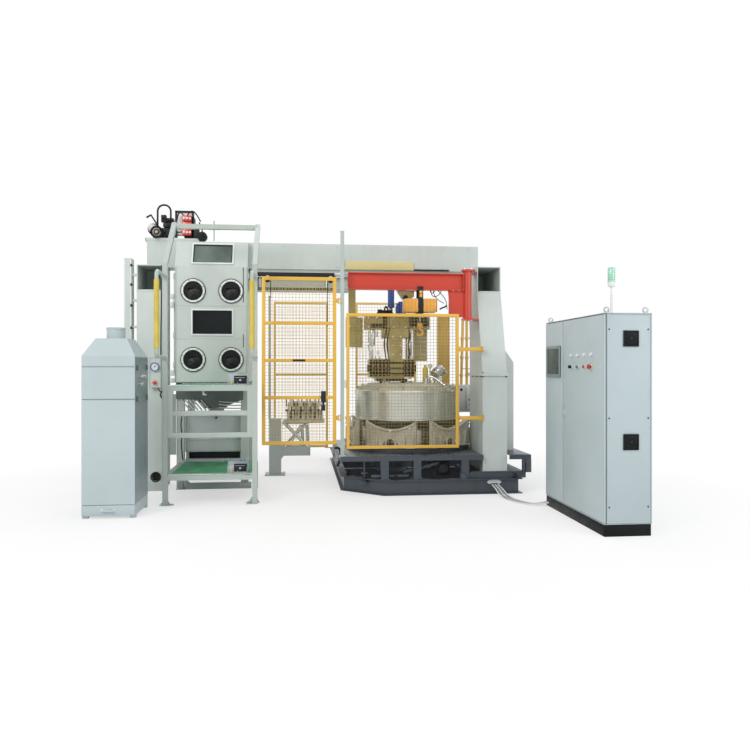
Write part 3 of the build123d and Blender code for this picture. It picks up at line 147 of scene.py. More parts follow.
# Each finish with the record's slot that it belongs to.  Orange peel and sand grain are under a
# millimetre on the real machine, and are drawn two to four times as coarse to show at all.
FINISHES = {
    # Powder coat on welded steel: an even satin skin with orange peel and faint streaks.
    "grey": (surface("grey_powder_coated_steel", "#C6CEC9", 0.42, change=0.025, grime=0.05), "machine_grey"),
    "frame": (surface("pale_powder_coated_tube", "#B0BAB3", 0.42, change=0.02, grime=0.04), "pale_frame"),
    # Air-dried enamel on folded sheet: a little duller than powder coat, with handling marks.
    "bin": (surface("grey_enamelled_sheet", "#CBD2D1", 0.48, change=0.03, grime=0.12), "frame_grey"),
    # Darker grey, flat and uneven, that stands in for shade: painted shade on the hopper and funnel sheet
    # under the cabin. The dust collector's seams and latches take it too.
    "inside": (surface("dark_grey_for_shade_seams_and_latches", "#66706A", 0.62, patch=300, change=0.08), "machine_grey"),
    # The grey paint made darker: painted shade for the linings inside the hollow heads' mouths.
    "mouth_shade_lining": (surface("grey_paint_darkened_for_shade", "#AEB7B0", 0.6, patch=300, change=0.06),
               "machine_grey"),
    # Textured powder coat of a switchgear cabinet: fine pebbles that break up every highlight.
    "pale": (surface("textured_cabinet_coat", "#B4C1C4", 0.5, change=0.015, grain=2.2, depth=0.12),
             "cabinet_blue"),
    # Machine enamel on rolled beams: thick, with soft gloss and dust in streaks.
    "dark": (surface("graphite_machine_enamel", "#434A52", 0.38, patch=400, change=0.06, grime=0.25),
             "dark_base"),
    # Black oxide on small steel parts: nearly matt, with a slight metal sheen.
    "black": (surface("black_oxide_steel", "#222426", 0.5, patch=80, change=0.07, mirror=0.25), "dark_base"),
    # Gloss powder coat on guard tubes: smooth, with long soft highlights.
    "yellow": (surface("yellow_powder_coated_tube", "#E0B146", 0.35, change=0.03), "guard_yellow"),
    # Polyurethane sleeve on the rails: matt, and darkened by hands.
    "grip": (surface("yellow_polyurethane_sleeve", "#CDB94F", 0.58, patch=150, change=0.05, grime=0.1),
             "guard_yellow"),
    # Ochre powder coat, a little dusty: a softer shine than on the guards in front.
    "fence": (surface("ochre_powder_coated_steel", "#DDB866", 0.45, change=0.04, grime=0.08), "feed_ochre"),
    # Crane enamel: sprayed thick over rolled beams, glossy.
    "red": (surface("crane_red_enamel", "#C93A22", 0.33, change=0.03, coat=0.2), "crane_red"),
    "orange": (surface("hoist_orange_enamel", "#E2A445", 0.35, patch=250, change=0.03, coat=0.2),
               "hoist_orange"),
    # Yellow-passivated zinc on machined plate: a dull metal with cloudy olive patches.
    "olive": (surface("yellow_zinc_plated_steel", "#A89B68", 0.42, metallic=0.25, patch=160, change=0.08,
                      grain=6, stretch=(1, 1, 6)), "dark_base"),
    # Thin coat on welded wire: it wears to a dull olive where the wires cross, and less so when new.
    "wire": (surface("coated_mesh_wire", "#A58F52", 0.5, patch=120, change=0.12), "guard_yellow"),
    "pale_wire": (surface("new_coated_mesh_wire", "#D0AF60", 0.5, patch=120, change=0.08), "guard_yellow"),
    # Burnt-on release agent on the jaws: dark brown and matt.
    "jaw": (surface("heat_darkened_tool_steel", "#281F1A", 0.55, metallic=0.3, patch=90, change=0.18),
            "dark_base"),
    # Air-dried enamel of the bare plate and the gate's wheels: pale and even, hardly shiny.
    "sand": (surface("sand_yellow_enamelled_sheet", "#D9CD92", 0.5, change=0.03), "feed_ochre"),
    # Brushed stainless sheet: its scratches run round the drum, level with the floor.
    "steel": (surface("brushed_stainless_steel", "#CDD0C9", 0.34, metallic=1.0, patch=600, change=0.025,
                      grain=16, stretch=(1, 1, 40)), "steel"),
    # Bright zinc on bolts, pins and pipes: a clean silver with a fine sparkle.
    "bright": (surface("zinc_plated_steel", "#D5D7D8", 0.25, metallic=1.0, patch=60, change=0.05), "steel"),
    # Sand-cast iron under thin paint: rough, with dull pits.
    "cast": (surface("sand_cast_iron", "#C4C0B0", 0.6, patch=120, change=0.07, grain=5, depth=0.5),
             "dark_base"),
    # Moulded black rubber: soft, matt and slightly dusty.
    "rubber": (surface("moulded_black_rubber", "#26282A", 0.62, ior=1.52, patch=70, change=0.08, mirror=0.25),
               "glove_rubber"),
    # Hose with a smooth oil-proof cover: a narrow soft highlight along its upper side.
    "hose": (surface("black_hose_cover", "#1D1E20", 0.5, ior=1.52, patch=60, change=0.06, mirror=0.25),
             "glove_rubber"),
    # Cylinder enamel on drawn tube: smooth, with a bright line down each barrel.
    "blue": (surface("blue_cylinder_enamel", "#34549F", 0.32, patch=250, change=0.04, coat=0.2),
             "cabinet_blue"),
    "sky": (surface("light_blue_cylinder_enamel", "#AFC8D3", 0.35, patch=250, change=0.03), "cabinet_blue"),
    # Die-cast aluminium shell of the foot switches under blue-grey enamel: soft gloss on rounded edges.
    "pedal": (surface("blue_grey_cast_enamel", "#A4AFB4", 0.45, patch=120, change=0.06), "pedal_orange"),
    # Galvanised sheet: a cool, dull mirror.
    "galvanised": (surface("galvanised_sheet", "#8D9A9E", 0.36, metallic=0.35, patch=500, change=0.02),
                   "cabinet_blue"),
    # Black enamel of the cabinet's plinth: it swallows the light but for a dull sheen.
    "plinth": (surface("black_plinth_enamel", "#0D1013", 0.45, patch=300, change=0.04, mirror=0.2),
               "dark_base"),
    # Moulded ABS: smooth and even, with a faint pebble.
    "white": (surface("white_moulded_abs", "#E4E8E6", 0.4, ior=1.52, patch=200, change=0.02), "pale_frame"),
    # Extruded PVC jacket: soft gloss along each cable.
    "cable": (surface("grey_pvc_jacket", "#878C8F", 0.5, ior=1.53, patch=80, change=0.04), "cable_jacket"),
    # Deck plate polished by boots: dark enamel with cloudy gloss, and painted lighter than the base's own
    # enamel for the light that falls on its top.
    "deck": (surface("worn_deck_enamel_painted_lighter", "#565D62", 0.24, patch=350, change=0.1, grime=0.3), "dark_base"),
    # Ceramic fibre board on the lid: chalky, with a coarse felt.
    "lid": (surface("ceramic_fibre_board", "#C2C0AF", 0.8, patch=180, change=0.05, grain=8, depth=0.8),
            "steel"),
    # PVC mat with low ribs that stop shoes slipping.
    "mat": (surface("ribbed_green_pvc_mat", "#58A276", 0.72, ior=1.53, patch=200, change=0.12, ribs=22),
            "mat_green"),
    # Tinted laminated glass: dark with sharp highlights. The upper pane, which leans back, is painted greyer
    # as a painted reflection of the sky.
    "glass": (surface("tinted_safety_glass", "#1B2022", 0.12, ior=1.52, patch=500, change=0.25, depth=0.01,
                      mirror=0.15), "window_glass"),
    "glass_painted_sky_reflection": (surface("tinted_glass_painted_sky_reflection", "#66736C", 0.16, ior=1.52, patch=500, change=0.2,
                            depth=0.01, mirror=0.3), "window_glass"),
    # Dipped neoprene gloves: black with a wet-looking sheen on their folds.
    "glove": (surface("dipped_neoprene", "#141818", 0.38, ior=1.52, patch=90, change=0.12, mirror=0.2),
              "glove_rubber"),
    # Etched cover glass of the touch screen, switched off: grey-green, with a blurred reflection.
    "screen": (surface("touch_panel_glass", "#4B554F", 0.3, ior=1.52, patch=300, change=0.1, depth=0.01,
                       mirror=0.25), "screen_plastic"),
}
# Moulded polycarbonate lenses: clear gloss over an even colour, and a faint glow in the signal tower.
for lens, code, glow in (("green", "#7FC8AA", 0.1), ("red", "#B22A24", 0), ("white", "#E2E4DF", 0),
                         ("yellow", "#DCC23A", 0), ("dark_green", "#2E7A4A", 0)):
    FINISHES[f"lens_{lens}"] = (surface(f"{lens}_polycarbonate_lens", code, 0.18, ior=1.58, patch=60,
                                        coat=0.5, glow=glow), "lamp_plastic")

# Modelling tools


def box_mm(node):
    """A node's low and high ends along X, Y and Z, in millimetres."""
    low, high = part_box(node)
    return [(low[i] / MM, high[i] / MM) for i in range(3)]


def pick(*objects):
    """Selects these objects alone, and works on the first."""
    bpy.ops.object.select_all(action="DESELECT")
    for obj in objects:
        obj.select_set(True)
    bpy.context.view_layer.objects.active = objects[0]


@contextlib.contextmanager
def edit_mode():
    """Edit mode on the active object, and back."""
    bpy.ops.object.mode_set(mode="EDIT")
    yield
    bpy.ops.object.mode_set(mode="OBJECT")


def extrude(height):
    """Raises the selected faces along +Z."""
    bpy.ops.mesh.extrude_region_move(TRANSFORM_OT_translate={"value": (0, 0, height)})


def aim(base, direction):
    """The placing that turns +Z to a direction and moves the origin to a point."""
    turn = Vector(direction).to_track_quat("Z", "Y").to_matrix().to_4x4()
    return Matrix.Translation(Vector(base)) @ turn


def spin(x, y, degrees):
    """A turn about an upright line, for what repeats round a centre."""
    return Matrix.Translation((x, y, 0)) @ Matrix.Rotation(math.radians(degrees), 4, "Z")


def round_y(centre, degrees):
    """A turn about a level line that runs to the rear."""
    return Matrix.Translation(Vector(centre)) @ Matrix.Rotation(math.radians(degrees), 4, "Y")


class Piece:
    """A piece of the machine: its parts are worked one by one, and joined at the end."""

    def __init__(self):
        self.parts = []

    def take(self, place, part=None):
        """Sets the part just worked, or a copy of another, at its place in the piece."""
        if part is None:
            part = bpy.context.object
        else:
            part = part.copy()
            part.data = part.data.copy()
            scene.collection.objects.link(part)
        part.matrix_world = place
        self.parts.append(part)
        return self

    def block(self, x, y, z, place=UNTURNED):
        """A bar or plate with square corners."""
        middle = Vector([(low + high) / 2 for low, high in (x, y, z)])
        sides = Vector([high - low for low, high in (x, y, z)])
        bpy.ops.mesh.primitive_cube_add(size=1)
        return self.take(place @ Matrix.LocRotScale(middle, None, sides))

    def blocks(self, *boxes, place=UNTURNED):
        """Several bars or plates."""
        for x, y, z in boxes:
            self.block(x, y, z, place)
        return self

    def prism(self, outline, axis, low, high, place=UNTURNED):
        """A flat outline of two coordinates, extruded along the third axis, 0, 1 or 2."""
        bpy.ops.mesh.primitive_circle_add(vertices=len(outline), fill_type="NGON")
        for corner, (across, up) in zip(bpy.context.object.data.vertices, outline):
            corner.co = (across, up, -high if axis == 1 else low)
        with edit_mode():
            extrude(high - low)
        upright = (Matrix(((0, 0, 1), (1, 0, 0), (0, 1, 0))), Matrix(((1, 0, 0), (0, 0, -1), (0, 1, 0))),
                   Matrix.Identity(3))[axis]
        return self.take(place @ upright.to_4x4())

    def lathe(self, base, direction, profile, sides=32):
        """A turned part: a disc that is extruded and resized along pairs of distance and radius."""
        first, radius = profile[0]
        bpy.ops.mesh.primitive_circle_add(vertices=sides, radius=radius, fill_type="NGON")
        with edit_mode():
            reached = first
            for along, wide in profile[1:]:
                extrude(along - reached)
                if wide != radius:
                    bpy.ops.transform.resize(value=(wide / radius, wide / radius, 1))
                reached, radius = along, wide
        return self.take(aim(base, direction) @ Matrix.Translation((0, 0, first)))

    def disc(self, base, direction, radius, depth, sides=32):
        """A round plate."""
        return self.lathe(base, direction, ((0, radius), (depth, radius)), sides)

    def rod(self, start, end, radius, sides=16):
        """A straight round bar."""
        run = Vector(end) - Vector(start)
        bpy.ops.mesh.primitive_cylinder_add(vertices=sides, radius=radius, depth=run.length)
        return self.take(aim(start, run) @ Matrix.Translation((0, 0, run.length / 2)))

    def ring(self, base, direction, outer, inner, depth, sides=48):
        """A flat ring: a disc that is inset, opened and raised."""
        bpy.ops.mesh.primitive_circle_add(vertices=sides, radius=outer, fill_type="NGON")
        with edit_mode():
            bpy.ops.mesh.inset(thickness=outer - inner)
            bpy.ops.mesh.delete(type="FACE")
            bpy.ops.mesh.select_all(action="SELECT")
            extrude(depth)
        return self.take(aim(base, direction))

    def frame(self, x, z, y, bar, depth, place=UNTURNED):
        """A welded frame of square bars in the plane of X and Z."""
        bpy.ops.mesh.primitive_plane_add(size=1)
        with edit_mode():
            bpy.ops.transform.resize(value=(x[1] - x[0], z[1] - z[0], 1))
            bpy.ops.mesh.inset(thickness=bar)
            bpy.ops.mesh.delete(type="FACE")
            bpy.ops.mesh.select_all(action="SELECT")
            extrude(depth)
        corner = Matrix.Translation(((x[0] + x[1]) / 2, y + depth, (z[0] + z[1]) / 2))
        return self.take(place @ corner @ Matrix.Rotation(math.radians(90), 4, "X"))

    def pipe(self, route, radius, closed=False, curved=True):
        """A hose or bent bar: a round section along a smooth line near its points."""
        data = bpy.data.curves.new("pipe", "CURVE")
        data.dimensions = "3D"
        spline = data.splines.new("NURBS" if curved else "POLY")
        spline.points.add(len(route) - 1)
        for point, place in zip(spline.points, route):
            point.co = (*place, 1)
        if curved:
            spline.order_u = 3
            spline.use_endpoint_u = not closed
        spline.use_cyclic_u = closed
        data.resolution_u = 6
        data.bevel_depth = radius
        data.bevel_resolution = 3
        data.use_fill_caps = True
        pipe = bpy.data.objects.new("pipe", data)
        scene.collection.objects.link(pipe)
        pick(pipe)
        bpy.ops.object.convert(target="MESH")
        with edit_mode():
            bpy.ops.mesh.select_all(action="SELECT")
            bpy.ops.mesh.remove_doubles(threshold=0.05)
        return self.take(UNTURNED)

    def wires(self, start, end, step, count, radius):
        """Parallel wires: one is drawn and an array repeats it."""
        self.rod(start, end, radius, 6)
        pick(self.parts[-1])
        bpy.ops.object.transform_apply(location=True, rotation=True, scale=True)
        array = self.parts[-1].modifiers.new("wires", "ARRAY")
        array.count = count
        array.use_relative_offset = False
        array.use_constant_offset = True
        array.constant_offset_displace = step
        bpy.ops.object.modifier_apply(modifier="wires")
        return self

    def mesh(self, x, z, y, pitch, wire):
        """Welded mesh: upright wires, and level ones behind them."""
        across = round((x[1] - x[0]) / pitch)
        up = round((z[1] - z[0]) / pitch)
        right = (x[1] - x[0]) / across
        rise = (z[1] - z[0]) / up
        rear = y + wire * 0.8
        self.wires((x[0] + right, y, z[0]), (x[0] + right, y, z[1]), (right, 0, 0), across - 1, wire / 2)
        return self.wires((x[0], rear, z[0] + rise), (x[1], rear, z[0] + rise), (0, 0, rise), up - 1,
                          wire / 2)

    def bolt(self, at, direction, size):
        """A copy of the hexagon bolt, with its shank this thick."""
        return self.take(aim(at, direction) @ Matrix.Scale(size, 4), BOLT)

    def bolts(self, places, direction, size):
        """A bolt of one size at each of several places."""
        for at in places:
            self.bolt(at, direction, size)
        return self

    def join(self):
        """Makes one object of the parts."""
        pick(*self.parts)
        if len(self.parts) > 1:
            bpy.ops.object.join()
        self.parts = [bpy.context.object]
        return self.parts[0]

    def done(self, name, body, finish, replaces=(), bevel=0.0, angle=35):
        """Finishes the piece in metres, with its edges, shading and material, on the body it rides."""
        piece = self.join()
        piece.name = name
        piece.data.name = name
        piece.matrix_world = Matrix.Scale(MM, 4) @ piece.matrix_world
        bpy.ops.object.transform_apply(location=True, rotation=True, scale=True)
        with edit_mode():
            bpy.ops.mesh.select_all(action="SELECT")
            bpy.ops.mesh.normals_make_consistent(inside=False)
        if bevel:
            edge = piece.modifiers.new("edge", "BEVEL")
            edge.width = bevel * MM
            edge.segments = 2
            edge.limit_method = "ANGLE"
            edge.angle_limit = math.radians(40)
            bpy.ops.object.modifier_apply(modifier="edge")
        bpy.ops.object.shade_smooth_by_angle(angle=math.radians(angle))
        material, slot = FINISHES[finish]
        piece.data.materials.clear()
        piece.data.materials.append(material)
        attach(piece, body)
        if replaces:
            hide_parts(*replaces)


def worked_bolt():
    """A hexagon head on a washer, for a shank of one millimetre."""
    bolt = Piece().disc((0, 0, 0), UP, 0.95, 0.18, 12)
    return bolt.lathe((0, 0, 0.18), UP, ((0, 0.72), (0.6, 0.72), (0.7, 0.6)), 6).join()


BOLT = worked_bolt()


def grid(*rows):
    """Every point of a block of places, from its X, Y and Z values, in that order."""
    points = [()]
    for row in rows:
        points = [(*point, value) for point in points for value in row]
    return points


def chain(x, y, low, high, pitch=34, width=12, wire=4):
    """Links of round bar, each turned a quarter from the last."""
    count = round((high - low) / pitch)
    step = (high - low) / count
    rise = step / 2 + wire
    route = ((-width, 0, width - rise), (-width, 0, rise - width), (0, 0, rise), (width, 0, rise - width),
             (width, 0, width - rise), (0, 0, -rise))
    link = Piece().pipe(route, wire, closed=True).parts[0]
    links = Piece()
    for k in range(count):
        middle = Matrix.Translation((x, y, low + step * (k + 0.5)))
        links.take(middle @ Matrix.Rotation(math.radians(90 * (k % 2)), 4, "Z"), link)
    bpy.data.objects.remove(link)
    return links


# Camera: its eye and turn, its focal length in pixels, and the level line of its picture

EYE = Vector((-540, -9760, 1664))
TURN = math.radians(-6.1)
PICTURE = 750
FOCAL = 704
HORIZON = 367.5
SENSOR = 36

camera_data = bpy.data.cameras.new("camera")
camera_data.lens = FOCAL / PICTURE * SENSOR
camera_data.sensor_width = SENSOR
camera_data.shift_y = (HORIZON - PICTURE / 2) / PICTURE
camera = bpy.data.objects.new("camera", camera_data)
camera.location = EYE * MM
camera.rotation_euler = (math.radians(90), 0, TURN)
scene.collection.objects.link(camera)
scene.camera = camera


def seen(px, py, y):
    """The point at a depth y that the reference picture shows at a place.

    The picture leans: its level lines drop by a fiftieth of the way to the left, which is taken out here.
    """
    share = (px - PICTURE / 2) / FOCAL
    depth = y - EYE.y
    x = depth * math.tan(math.atan(share) - TURN) + EYE.x
    level = HORIZON - 0.02 * (px - PICTURE / 2) - py
    z = EYE.z + level / FOCAL * depth / (math.cos(TURN) + share * math.sin(TURN))
    return Vector((x, y, z))


def seen_box(edges, y, depths=(0, 0)):
    """The bar behind a left, upper, right and lower edge in the picture, from one depth to another."""
    left, upper, right, lower = edges
    low, high = seen(left, lower, y), seen(right, upper, y)
    return (low.x, high.x), (y + depths[0], y + depths[1]), (low.z, high.z)


def seen_line(points, y):
    """The route at a depth y behind these places in the picture."""
    return [seen(px, py, y) for px, py in points]


# Floor cables

CABLE_EXIT = (1976, -670, 124)
CABLE_PITCH = 20
CABLE_DIAMETER = 16
for index in range(5):
    across = index * CABLE_PITCH
    route = ((CABLE_EXIT[0] + across, *CABLE_EXIT[1:]), (1972 + 1.1 * across, -845, 116),
             (2006 + 1.35 * across, -1045, 9), (2106 + 1.35 * across, -1355, 9),
             (2276 + 0.4 * across, -1565 + 0.85 * across, 10), (2430.4, -1590 + across, 45))
    data = bpy.data.curves.new(f"floor_cable_{index + 1}", "CURVE")
    data.dimensions = "3D"
    spline = data.splines.new("NURBS")
    spline.points.add(len(route) - 1)
    for point, place in zip(spline.points, route):
        point.co = (*[v * MM for v in place], 1)
    spline.order_u = 3
    spline.use_endpoint_u = True
    spline.resolution_u = 12
    data.bevel_resolution = 4
    data.use_fill_caps = True
    data.materials.append(FINISHES["cable" if index % 2 else "white"][0])
    cable = bpy.data.objects.new(f"floor_cable_{index + 1}", data)
    scene.collection.objects.link(cable)
    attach(cable, "machine")
    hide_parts(f"cable_{index + 1}")
    line = cable.evaluated_get(bpy.context.evaluated_depsgraph_get()).to_mesh()
    data.bevel_depth = CABLE_DIAMETER / 2 * MM

# CAD nodes and their finishes

NODE_FINISHES = {
    "grey": ("left_column", "right_column_lower", "right_column_upper", "right_side_box", "cross_beam",
             "cabin_front", "cabin_walls", "middle_post", "gauge_box", "table_stand", "cabin_legs"),
    "frame": ("portal_frame", "lower_platform", "upper_platform", "setting_table", "beam_rails", "handrails"),
    "bin": ("sand_bin",),
    # The hopper under the cabin takes the darker grey that is painted shade.
    "inside": ("cabin_hopper",),
    "dark": ("base_frame", "deck"),
    "pale": ("cabinet_body", "near_door", "far_door", "dust_body", "dust_hood", "dust_drawer"),
    "plinth": ("cabinet_plinth", "touch_screen"),
    "yellow": ("front_gate", "middle_gate", "gate_brackets"),
    "fence": ("rear_fence", "feed_column", "feed_pipes"),
    "red": ("jib_arm", "jib_brackets"),
    "orange": ("hoist",),
    "olive": ("gripper", "manipulator_carriage"),
    "steel": ("furnace_drum", "furnace_lid", "lid_fittings"),
    "cast": ("saddles",),
    "black": ("hydraulic_unit",),
    "pedal": ("foot_switches",),
    "glove": ("glove_ports",),
    "bright": ("hook",),
    "mat": ("platform_mats",),
    "glass": ("cabin_glass",),
    "lens_green": ("signal_tower",),
}
for finish, names in NODE_FINISHES.items():
    for name in names:
        nodes[name].data.materials.clear()
        nodes[name].data.materials.append(FINISHES[finish][0])

# Faces of the frame that many pieces are set against

BEAM_TOP = box_mm("deck")[2][0]
DECK_TOP = box_mm("middle_post")[2][0]
PLINTH_TOP = box_mm("right_column_lower")[2][0]
DRUM_X, DRUM_Y, DRUM_Z = box_mm("furnace_drum")
FX, FY = sum(DRUM_X) / 2, sum(DRUM_Y) / 2
LID_TOP = box_mm("furnace_lid")[2][1]
GATE_Y = box_mm("front_gate")[1]
BEAM_Y, BEAM_Z = box_mm("cross_beam")[1:]


def base_trim():
    """Ribs and ramp on the base's front beam, the drive behind it, and the nuts that level the base."""
    base_front, base_rear = -700, -590
    base = Piece()
    for x in (560, 987, 1622):
        base.block((x - 80, x + 80), (base_front, base_rear), (BEAM_TOP, BEAM_TOP + 12))
    base.blocks(((1560, 1640), (base_front - 12, -620), (BEAM_TOP, PLINTH_TOP - 1)),
                ((388, 880), (-640, -600), (232, 262)))
    base.prism(((820, 262), (1300, 380), (1300, 420), (820, 300)), 1, -560, -500)
    base.done("base_ribs_and_ramp", "machine", "dark", bevel=2)

    drive_x, drive_front = 1350, -520
    drive = Piece().block((drive_x - 100, drive_x + 100), (drive_front, -200), (232, 440))
    drive.block((drive_x - 60, drive_x + 60), (drive_front - 40, drive_front), (262, 400))
    drive.rod((drive_x, -560, 330), (drive_x, -600, 330), 60).block((1010, 1090), (-600, -500), (360, 448))
    drive.bolts(grid((drive_x - 75, drive_x + 75), (drive_front,), (255, 415)), FRONT, 14)
    drive.done("drive_under_deck", "machine", "black", bevel=3)

    nuts = Piece()
    for x, y in ((310, -500), (2300, -690), (700, -690), (120, -150), (100, 1500), (2300, 1500)):
        nuts.lathe((x, y, BEAM_TOP), UP, ((0, 34), (14, 34), (18, 16), (52, 16)), 20)
        nuts.bolt((x, y, BEAM_TOP + 46), UP, 24)
    nuts.done("base_levelling_nuts", "machine", "black")
    arm_pixels = ((334.5, 449), (340, 447), (341, 460), (337, 467))
    Piece().pipe(seen_line(arm_pixels, -300), 16).done("bent_arm_left", "machine", "black")


def deck_trim():
    """The channel at the deck's end and the plates that the operator walks on."""
    end = box_mm("deck")[0][1]
    channel = Piece().blocks(((end - 74, end), (-700, -640), (PLINTH_TOP, 448)),
                             ((2400, 2430), (-690, -640), (PLINTH_TOP, 448)),
                             ((1700, end - 74), (-668, -650), (PLINTH_TOP, PLINTH_TOP + 16)))
    channel.done("deck_end_channel", "machine", "dark", bevel=2)
    plate = (-676, 1480), (DECK_TOP, DECK_TOP + 3)
    # The top plate is the deck's enamel painted lighter, as light on its top, over real wear and gloss.
    top = Piece().blocks(((10, 1850), *plate), ((2240, 2500), *plate))
    top.done("deck_top_plate", "machine", "deck", bevel=1)


def cable_port():
    """The oval port in the base's front beam, and a grommet round each cable."""
    port_x, port_z = 2016, 152
    turns = [k * math.pi / 18 for k in range(36)]
    oval = [(port_x + 95 * math.cos(turn), port_z + 32 * math.sin(turn)) for turn in turns]
    Piece().prism(oval, 1, CABLE_EXIT[1] - 5, CABLE_EXIT[1]).done("cable_port_ring", "machine", "white")
    grommets = Piece()
    for index in range(5):
        at = (CABLE_EXIT[0] + index * CABLE_PITCH, CABLE_EXIT[1] - 1, CABLE_EXIT[2])
        grommets.lathe(at, (0, -1, -0.05), ((-2, 12), (6, 12), (14, 9.5), (40, 8.6)), 16)
    grommets.done("cable_grommets", "machine", "rubber")


def furnace_drum_and_lid():
    """The stainless drum with its seams, and the insulated lid with its clamps and ports."""
    wall, rolled_edge = 760, 766
    drum = Piece()
    drum.lathe((FX, FY, DRUM_Z[0]), UP,
               ((0, 640), (218, 640), (222, 650), (230, 652), (350, wall - 2), (356, 763), (372, 763),
                (376, wall), (720, wall), (724, rolled_edge), (760, rolled_edge), (767, wall - 2)), 96)
    drum.done("drum_shell", "machine", "steel", replaces=("furnace_drum",), angle=25)
    seams = Piece()
    for degrees in (-150, -118, -86, -52, -20):
        seams.block((wall - 3, wall + 2.5), (-5, 5), (962, 1300), spin(FX, FY, degrees))
    for z in (975, 1292):
        seams.ring((FX, FY, z), UP, wall + 3, wall - 3, 7, 96)
    seams.done("drum_seams", "machine", "bright")

    lid = Piece().lathe((FX, FY, DRUM_Z[1]), UP,
                        ((0, 700), (26, 700), (35, 690), (36, 612), (58, 610), (90, 580), (93, 570),
                         (93, 260), (96, 255), (96, 10)), 96)
    lid.done("lid_insulation", "machine", "lid", replaces=("furnace_lid",), angle=25)
    flange = DRUM_Z[1] + 35
    clamps = Piece()
    for index in range(12):
        place = spin(FX, FY, -15 + index * 30)
        stud = place @ Vector((668, 0, flange + 14))
        clamps.block((640, 752), (-26, 26), (flange, flange + 14), place)
        clamps.block((700, 752), (-20, 20), (DRUM_Z[1], flange), place)
        clamps.lathe(stud, UP, ((0, 14), (10, 14), (12, 8), (42, 8)), 12)
        clamps.bolt(stud + Vector((0, 0, 10)), UP, 17)
    for index in range(4):
        place = spin(FX, FY, 40 + index * 90)
        handle = ((485, -26, 1444), (485, -26, 1492), (485, 26, 1492), (485, 26, 1444))
        clamps.block((470, 500), (-40, 40), (1438, 1446), place)
        clamps.pipe([place @ Vector(point) for point in handle], 7)
    clamps.done("lid_clamps", "machine", "cast", bevel=2)

    ports = Piece().ring((FX, FY, LID_TOP), UP, 130, 60, 10, 40)
    ports.ring((FX, FY, LID_TOP + 10), UP, 92, 62, 12, 40)
    riser = Vector((FX + 230, FY - 300, LID_TOP - 2))
    ports.lathe(riser, UP, ((0, 56), (16, 56), (18, 34), (60, 34), (64, 44), (72, 44)), 24)
    ports.lathe((FX - 330, FY - 250, LID_TOP - 2), UP, ((0, 70), (14, 70), (16, 50), (26, 50)), 24)
    ports.pipe((riser + Vector((0, 0, 62)), riser + Vector((0, -40, 122)), riser + Vector((150, -100, 62)),
                riser + Vector((330, -220, -108))), 9)
    ports.done("riser_and_ports", "machine", "bright")


def lid_fittings():
    """The bottle, the ball lever and the blower on the furnace's lid."""
    foot = LID_TOP - 10
    bottle = Piece().lathe((1250, 200, foot), UP,
                           ((0, 40), (206, 40), (232, 32), (248, 18), (262, 14), (264, 18), (274, 18)), 24)
    bottle.done("yellow_bottle", "machine", "grip", replaces=("lid_fittings",))
    ball = Piece().lathe((1318, 190, foot), UP,
                         ((0, 12), (222, 12), (230, 22), (248, 34), (268, 34), (284, 22), (290, 6)), 20)
    ball.done("white_ball_lever", "machine", "white")
    start, axis = Vector((1380, 210, 1537)), Vector((140, 80, 100))
    blower = Piece().lathe(start, axis, ((0, 60), (8, 84), (30, 85), (34, 70), (48, 70), (52, 85), (150, 85),
                                         (166, 74), (190, 70), (192, 30)), 32)
    blower.rod((1450, 250, 1436), (1450, 250, 1548), 30).rod((1400, 330, 1436), (1420, 290, 1500), 14)
    blower.done("blower_body", "machine", "bright")
    fins = Piece()
    for along in range(60, 146, 12):
        fins.ring(start + axis.normalized() * along, axis, 92, 80, 4, 32)
    fins.block((1420, 1480), (150, 200), (1470, 1540)).done("blower_fins", "machine", "bright")


def saddles_and_step():
    """Ribs, rims and bolts of the six saddle castings, and the edge of the round step under them."""
    foot, half = DRUM_Z[0], 350
    arch = [-half + 2 * half * k / 16 for k in range(17)]
    upper = [(x, 830 + 110 * (x / half) ** 2) for x in arch]
    rim = upper + [(x, z - 26) for x, z in reversed(upper)]
    ribs, studs = Piece(), Piece()
    for index in range(6):
        place = spin(FX, FY, -24 + 60 * index)
        outwards = place.to_3x3() @ Vector(FRONT)
        for x in (-330, -210, 180, 300):
            ribs.block((x, x + 26), (-856, -826), (foot + 4, 800 if abs(x) > 250 else 740), place)
        ribs.block((-half, half), (-880, -830), (foot, foot + 24), place)
        ribs.prism(rim, 1, -858, -826, place)
        ribs.ring(place @ Vector((0, -828, foot + 60)), outwards, 82, 56, 22, 32)
        studs.bolts([place @ Vector((x, -866, foot + 24)) for x in (-290, -140, 120, 260)], UP, 17)
        ends = [place @ Vector((x, -858, z)) for x, z in ((-270, 850), (0, 808), (270, 850))]
        studs.bolts(ends, outwards, 15)
    ribs.done("saddle_ribs", "machine", "cast", bevel=2)
    studs.done("saddle_bolts", "machine", "bright")
    step = Piece().ring((FX, FY, foot - 2), UP, 902, 660, 6, 96)
    step.ring((FX, FY, DECK_TOP + 4), UP, 905, 880, 16, 96).done("step_ring", "machine", "dark")


